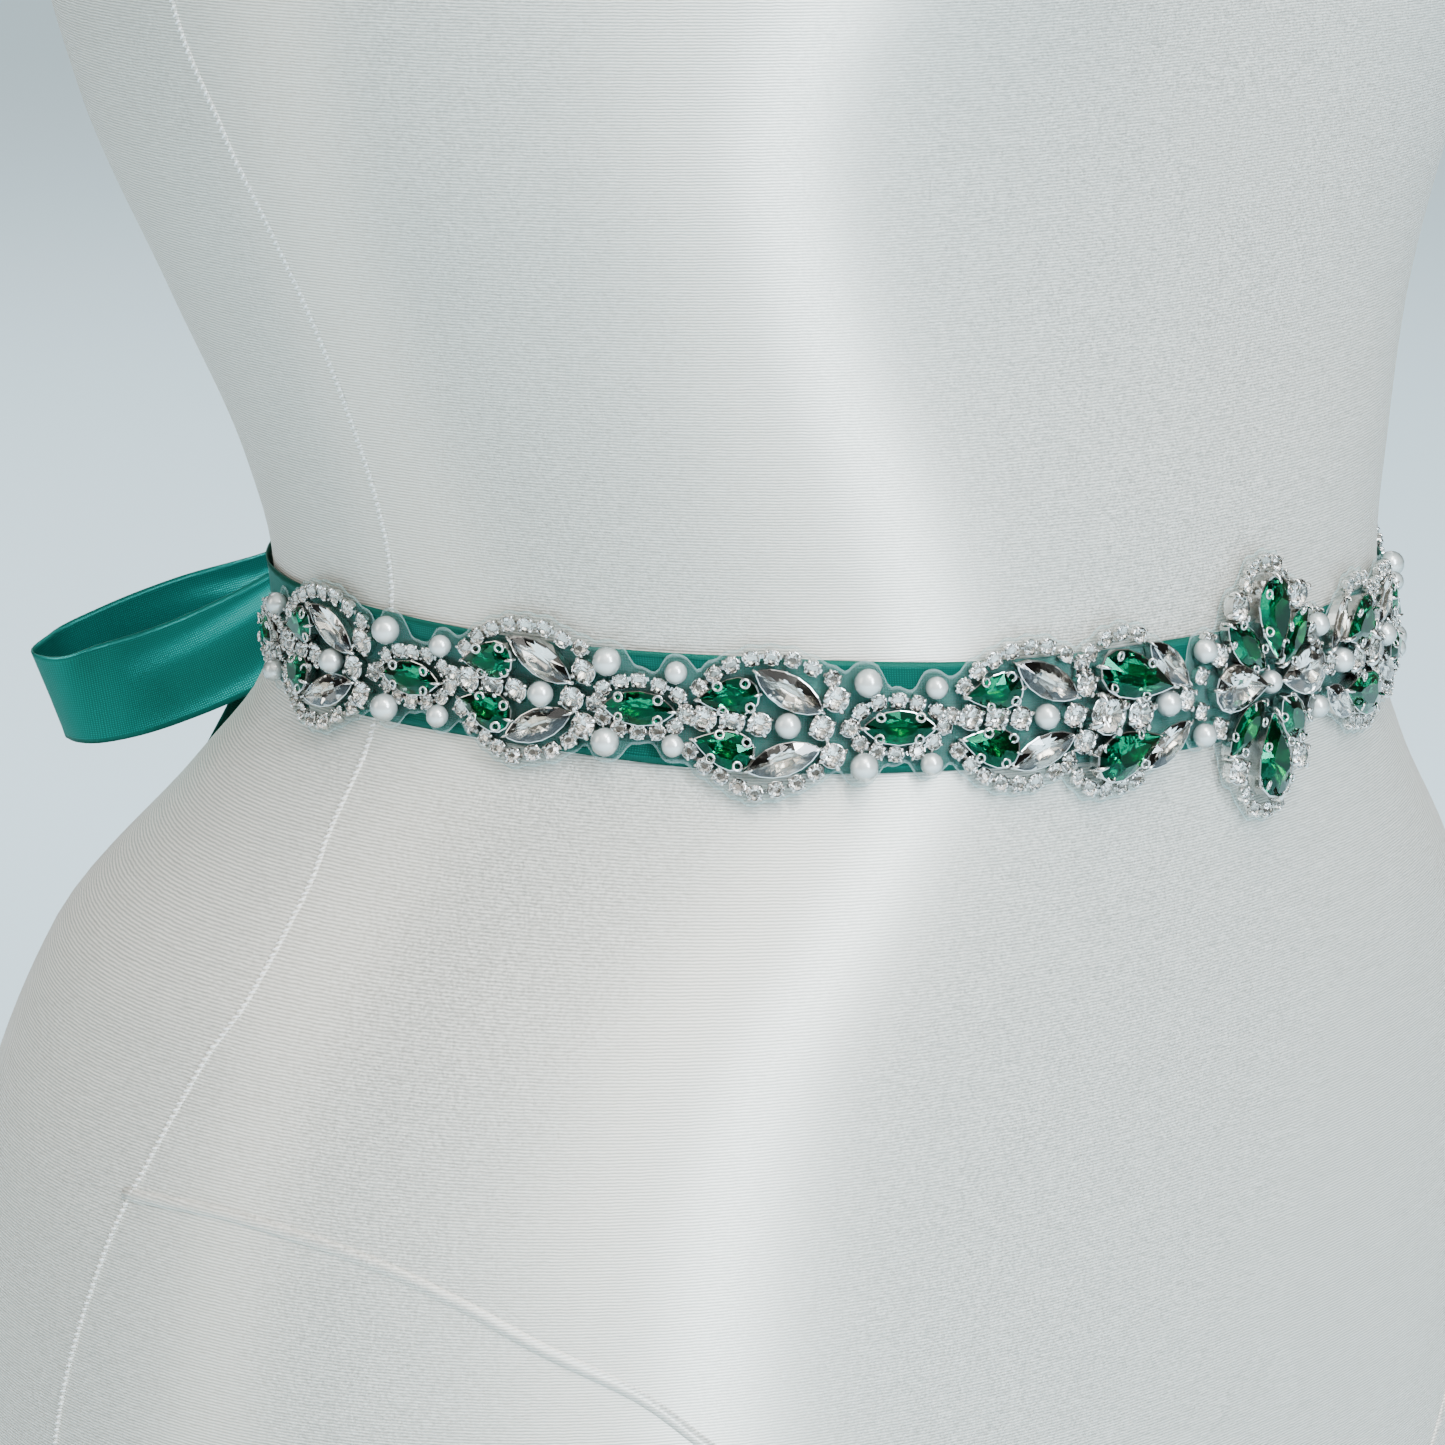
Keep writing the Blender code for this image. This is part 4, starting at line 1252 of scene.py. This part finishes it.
# %% [markdown]
# ## The cup chain
#
# The small stones come as a chain: each sits in a four-clawed cup, and a short bar
# joins it to the next. It runs round the clusters and the links.


# %% Chain of small stones
def make_bar(name):
    """The bar between two cups, half a pitch long on each side."""
    x, y, z = 0.62, 0.13, 0.12
    points = [(a * x, b * y, c * z - 0.35) for a in (1, -1) for b in (1, -1) for c in (1, -1)]
    faces = [(0, 1, 3, 2), (4, 6, 7, 5), (0, 4, 5, 1), (2, 3, 7, 6), (0, 2, 6, 4), (1, 5, 7, 3)]
    return template(name, points, faces)


def set_chain():
    high = HIGH["round"] * CHAIN_STONE
    off = NET_TOP + 0.15 * high + PAVILION * high
    s, t = CHAIN_SPOTS.T
    ds, dt = CHAIN_WAYS.T
    spots, turns = turns_at(s, t, ds, dt, off + 0 * s, loose=5.0)
    sizes = np.tile((CHAIN_STONE, CHAIN_STONE, high), (len(s), 1))
    even = np.tile((CHAIN_STONE,) * 3, (len(s), 1))
    for name, stone, finish, size in (
        ("chain_stones", CUT["round"], FINISH["clear"], sizes),
        ("chain_cups", CUP["round"], FINISH["plated"], sizes),
        ("chain_claws", FOUR_CLAWS, FINISH["plated"], sizes),
        ("chain_bars", make_bar("chain_bar"), FINISH["plated"], even),
    ):
        set_on_points(name, stone, spots, turns, size, finish)


set_chain()

# %% [markdown]
# ## Seams of the cover
#
# The cover has a side seam on each side, overlocked in white, and a seam that swings
# from it across the thigh. Both are lines on the form's surface: a height and a section
# angle at each station. A fine welt follows each, and stitches stand along it.

# %% Seam lines: z from the waist, degrees round from the front
SIDE_SEAM = np.array((
    (296, 90), (240, 92), (180, 93), (116, 92.5), (95, 90.5), (75, 89), (50, 88), (29, 88),
    (0, 89.5), (-20, 90.5), (-36, 89.5), (-50, 89), (-62, 90.5), (-77, 92.5), (-96, 95.5),
    (-132, 99.5), (-180, 101), (-240, 101), (-297, 100),
), float)  # fmt: skip
THIGH_SEAM = np.array((
    (-85, 94.5), (-83.5, 85), (-85, 76.5), (-88, 69.5), (-93, 63), (-100, 56.5),
    (-109, 48.5), (-118, 43.5), (-132, 36), (-150, 28.5), (-172, 20), (-200, 12), (-232, 5),
    (-262, 0.6),
), float)  # fmt: skip


def seam_line(table, side, pitch):
    """Heights and angles an even pitch apart along a seam, and its way there."""
    z, u = table[:, 0], np.radians(table[:, 1]) * side
    fine = np.linspace(0, len(z) - 1, 900)
    z, u = (through(np.arange(len(v), dtype=float), v, fine) for v in (z, u))
    spots = form_point(u, z)
    gone = np.append(0, np.cumsum(np.linalg.norm(np.diff(spots, axis=0), axis=1)))
    at = np.arange(0, gone[-1], pitch)
    z, u = np.interp(at, gone, z), np.interp(at, gone, u)
    return z, u


def build_seams():
    welts, stitch_spots, stitch_turns, stitch_sizes = [], [], [], []
    for side in (1, -1):
        for table, wide, high, stitched in (
            (SIDE_SEAM, 0.7, 0.34, True),
            (THIGH_SEAM, 1.3, 0.6, False),
        ):
            z, u = seam_line(table, side, 2.4)
            middle = skin(u, z, 0 * z)
            way = np.gradient(middle, axis=0)
            rise = skin(u, z, 1 + 0 * z) - middle
            aside = np.cross(way, rise)
            aside /= np.linalg.norm(aside, axis=1, keepdims=True)
            shape = ((-1, -0.25), (-0.55, 0.6), (0, 1), (0.55, 0.6), (1, -0.25), (0, -0.5))
            welts.append(np.stack([middle + aside * a * wide + rise * b * high for a, b in shape], 1))
            if not stitched:
                continue
            z, u = seam_line(table, side, 1.25)
            spots = skin(u, z, 0.2 + 0 * z)
            way, rise = np.gradient(spots, axis=0), skin(u, z, 1.2 + 0 * z) - spots
            for p, w, r in zip(spots, way, rise):
                r, w = Vector(r).normalized(), Vector(w).normalized()
                x = (w.cross(r) * 0.82 + w * 0.57).normalized()
                basis = Matrix((x, r.cross(x), r)).transposed()
                stitch_spots.append(p)
                stitch_turns.append(tuple(basis.to_euler()))
                stitch_sizes.append((1.5, 0.5, 0.42))
    points, faces = [], []
    for grid in welts:
        rows, cols = grid.shape[:2]
        first = len(points)
        points += list(grid.reshape(-1, 3))
        for i in range(rows - 1):
            for k in range(cols):
                a, b = first + i * cols + k, first + i * cols + (k + 1) % cols
                faces.append((a, b, b + cols, a + cols))
        faces.append(tuple(first + cols - 1 - k for k in range(cols)))
        faces.append(tuple(first + (rows - 1) * cols + k for k in range(cols)))
    new_piece("cover_seam_welts", points, faces, JERSEY)
    small = make_ball("stitch", rows=4, cols=6)
    set_on_points("seam_stitches", small, stitch_spots, stitch_turns, stitch_sizes,
                  FINISH["thread"])  # fmt: skip


build_seams()

# %% Clear away the templates
for made in [o for o in bpy.data.objects if o.parent is None and o.type == "MESH"]:
    if made.name.split(".")[0] in (
        "round_stone", "pear_stone", "navette_stone", "round_cup", "pear_cup", "navette_cup",
        "four_claws", "tip_claws", "wire_ring", "bead", "chain_bar", "stitch",
    ):  # fmt: skip
        bpy.data.objects.remove(made)

# %% [markdown]
# ## Floor, light and camera
#
# A tall soft lamp near the camera draws the streak on the jersey. Smaller lamps and a
# darker room give the stones something to flash with, and one low lamp is kept for the
# loops of the bow, which stand in the form's shade.


# %% Floor and room
def build_room():
    mesh = bpy.data.meshes.new("floor")
    mesh.from_pydata([(-9, -9, 0), (9, -9, 0), (9, 9, 0), (-9, 9, 0)], [], [(0, 1, 2, 3)])
    material, _, _ = new_material("pale_floor", Base_Color=(0.62, 0.83, 0.94, 1), Roughness=0.85)
    mesh.materials.append(material)
    floor = bpy.data.objects.new("floor", mesh)
    bpy.context.scene.collection.objects.link(floor)
    world = bpy.data.worlds.new("room")
    bpy.context.scene.world = world
    world.use_nodes = True
    tree = world.node_tree
    ground = tree.nodes["Background"]
    path, seen, dim, mix, pick = (
        tree.nodes.new(k)
        for k in ("ShaderNodeLightPath", "ShaderNodeBackground", "ShaderNodeBackground",
                  "ShaderNodeMixShader", "ShaderNodeMixShader")
    )  # fmt: skip
    # even fill on cloth, pale behind the scene, and dim where glass and metal mirror it
    for background, colour, strength in (
        (ground, (1.0, 0.98, 0.94, 1), 0.50),
        (seen, (0.61, 0.72, 0.80, 1), 1.1),
        (dim, (1.0, 0.98, 0.92, 1), 0.18),
    ):
        background.inputs["Color"].default_value = colour
        background.inputs["Strength"].default_value = strength
    link_chain(
        tree,
        (path.outputs["Is Diffuse Ray"], pick.inputs[0]),
        (dim.outputs[0], pick.inputs[1]),
        (ground.outputs[0], pick.inputs[2]),
        (path.outputs["Is Camera Ray"], mix.inputs[0]),
        (pick.outputs[0], mix.inputs[1]),
        (seen.outputs[0], mix.inputs[2]),
        (mix.outputs[0], tree.nodes["World Output"].inputs[0]),
    )


def add_lamp(name, azimuth, elevation, distance, size, power, colour, only=None):
    """A soft lamp that looks at the sash. Azimuth 0 is in front, to the right plus.

    only names the pieces that it lights, where it isn't for all of them."""
    a, e = np.radians(azimuth), np.radians(elevation)
    aim = Vector((0, 0, WAIST_Z / 1000))
    place = aim + distance * Vector((np.sin(a) * np.cos(e), -np.cos(a) * np.cos(e), np.sin(e)))
    data = bpy.data.lights.new(name, "AREA")
    data.shape, data.size, data.size_y = "RECTANGLE", size[0], size[1]
    data.energy, data.color = power, colour
    lamp = bpy.data.objects.new(name, data)
    bpy.context.scene.collection.objects.link(lamp)
    lamp.location = place
    lamp.rotation_euler = (aim - place).to_track_quat("-Z", "Y").to_euler()
    if only:
        lit = bpy.data.collections.new(name + "_lights")
        for piece in only:
            lit.objects.link(bpy.data.objects[piece])
        lamp.light_linking.receiver_collection = lit


def add_sky():
    data = bpy.data.lights.new("sky", "SUN")
    data.energy, data.angle, data.color = 1.6, np.radians(70), (1.0, 0.98, 0.95)
    sky = bpy.data.objects.new("sky", data)
    bpy.context.scene.collection.objects.link(sky)
    sky.rotation_euler = (np.radians(25), np.radians(-20), 0)


build_room()
add_sky()
BOW_FRONT = ("satin_loop_right", "satin_loop_left")
for lamp in (
    ("window", -16, 28, 1.9, (0.34, 1.3), 64, (0.78, 0.89, 1.0)),
    ("overhead", -32, 66, 1.7, (0.7, 0.7), 19, (1.0, 1.0, 0.98)),
    ("ribbon_glow", -62, 23, 1.7, (0.4, 0.15), 100, (0.5, 0.80, 1.0), BOW_FRONT),
    ("left_panel", -118, 22, 2.0, (0.8, 1.4), 12, (1.0, 0.97, 0.91)),
    ("spark", -34, 52, 1.5, (0.10, 0.10), 5, (1.0, 1.0, 1.0)),
    ("back", 145, 48, 2.4, (2.0, 2.0), 44, (0.97, 0.98, 1.0)),
):
    add_lamp(*lamp)

# %% [markdown]
# The camera stands about a metre from the waist, on the form's right, a little above
# it. Its lens is long, so the photograph's close framing shows only the waist.

# %% Camera
CAMERA_AT = Vector((-0.7582, -0.6315, 0.4964))
LOOKS_AT = Vector((-0.0078, 0.00937, 0.27234))
ROLL = np.radians(0.81)
LENS = 134.1


def add_camera():
    data = bpy.data.cameras.new("camera")
    data.lens, data.sensor_width = LENS, 36.0
    data.clip_start, data.clip_end = 0.05, 50
    camera = bpy.data.objects.new("camera", data)
    bpy.context.scene.collection.objects.link(camera)
    forward = (LOOKS_AT - CAMERA_AT).normalized()
    right = forward.cross(Vector((0, 0, 1))).normalized()
    up = right.cross(forward)
    across = right * np.cos(ROLL) + up * np.sin(ROLL)
    over = up * np.cos(ROLL) - right * np.sin(ROLL)
    basis = Matrix((across, over, -forward)).transposed()
    camera.matrix_world = Matrix.Translation(CAMERA_AT) @ basis.to_4x4()
    bpy.context.scene.camera = camera


add_camera()
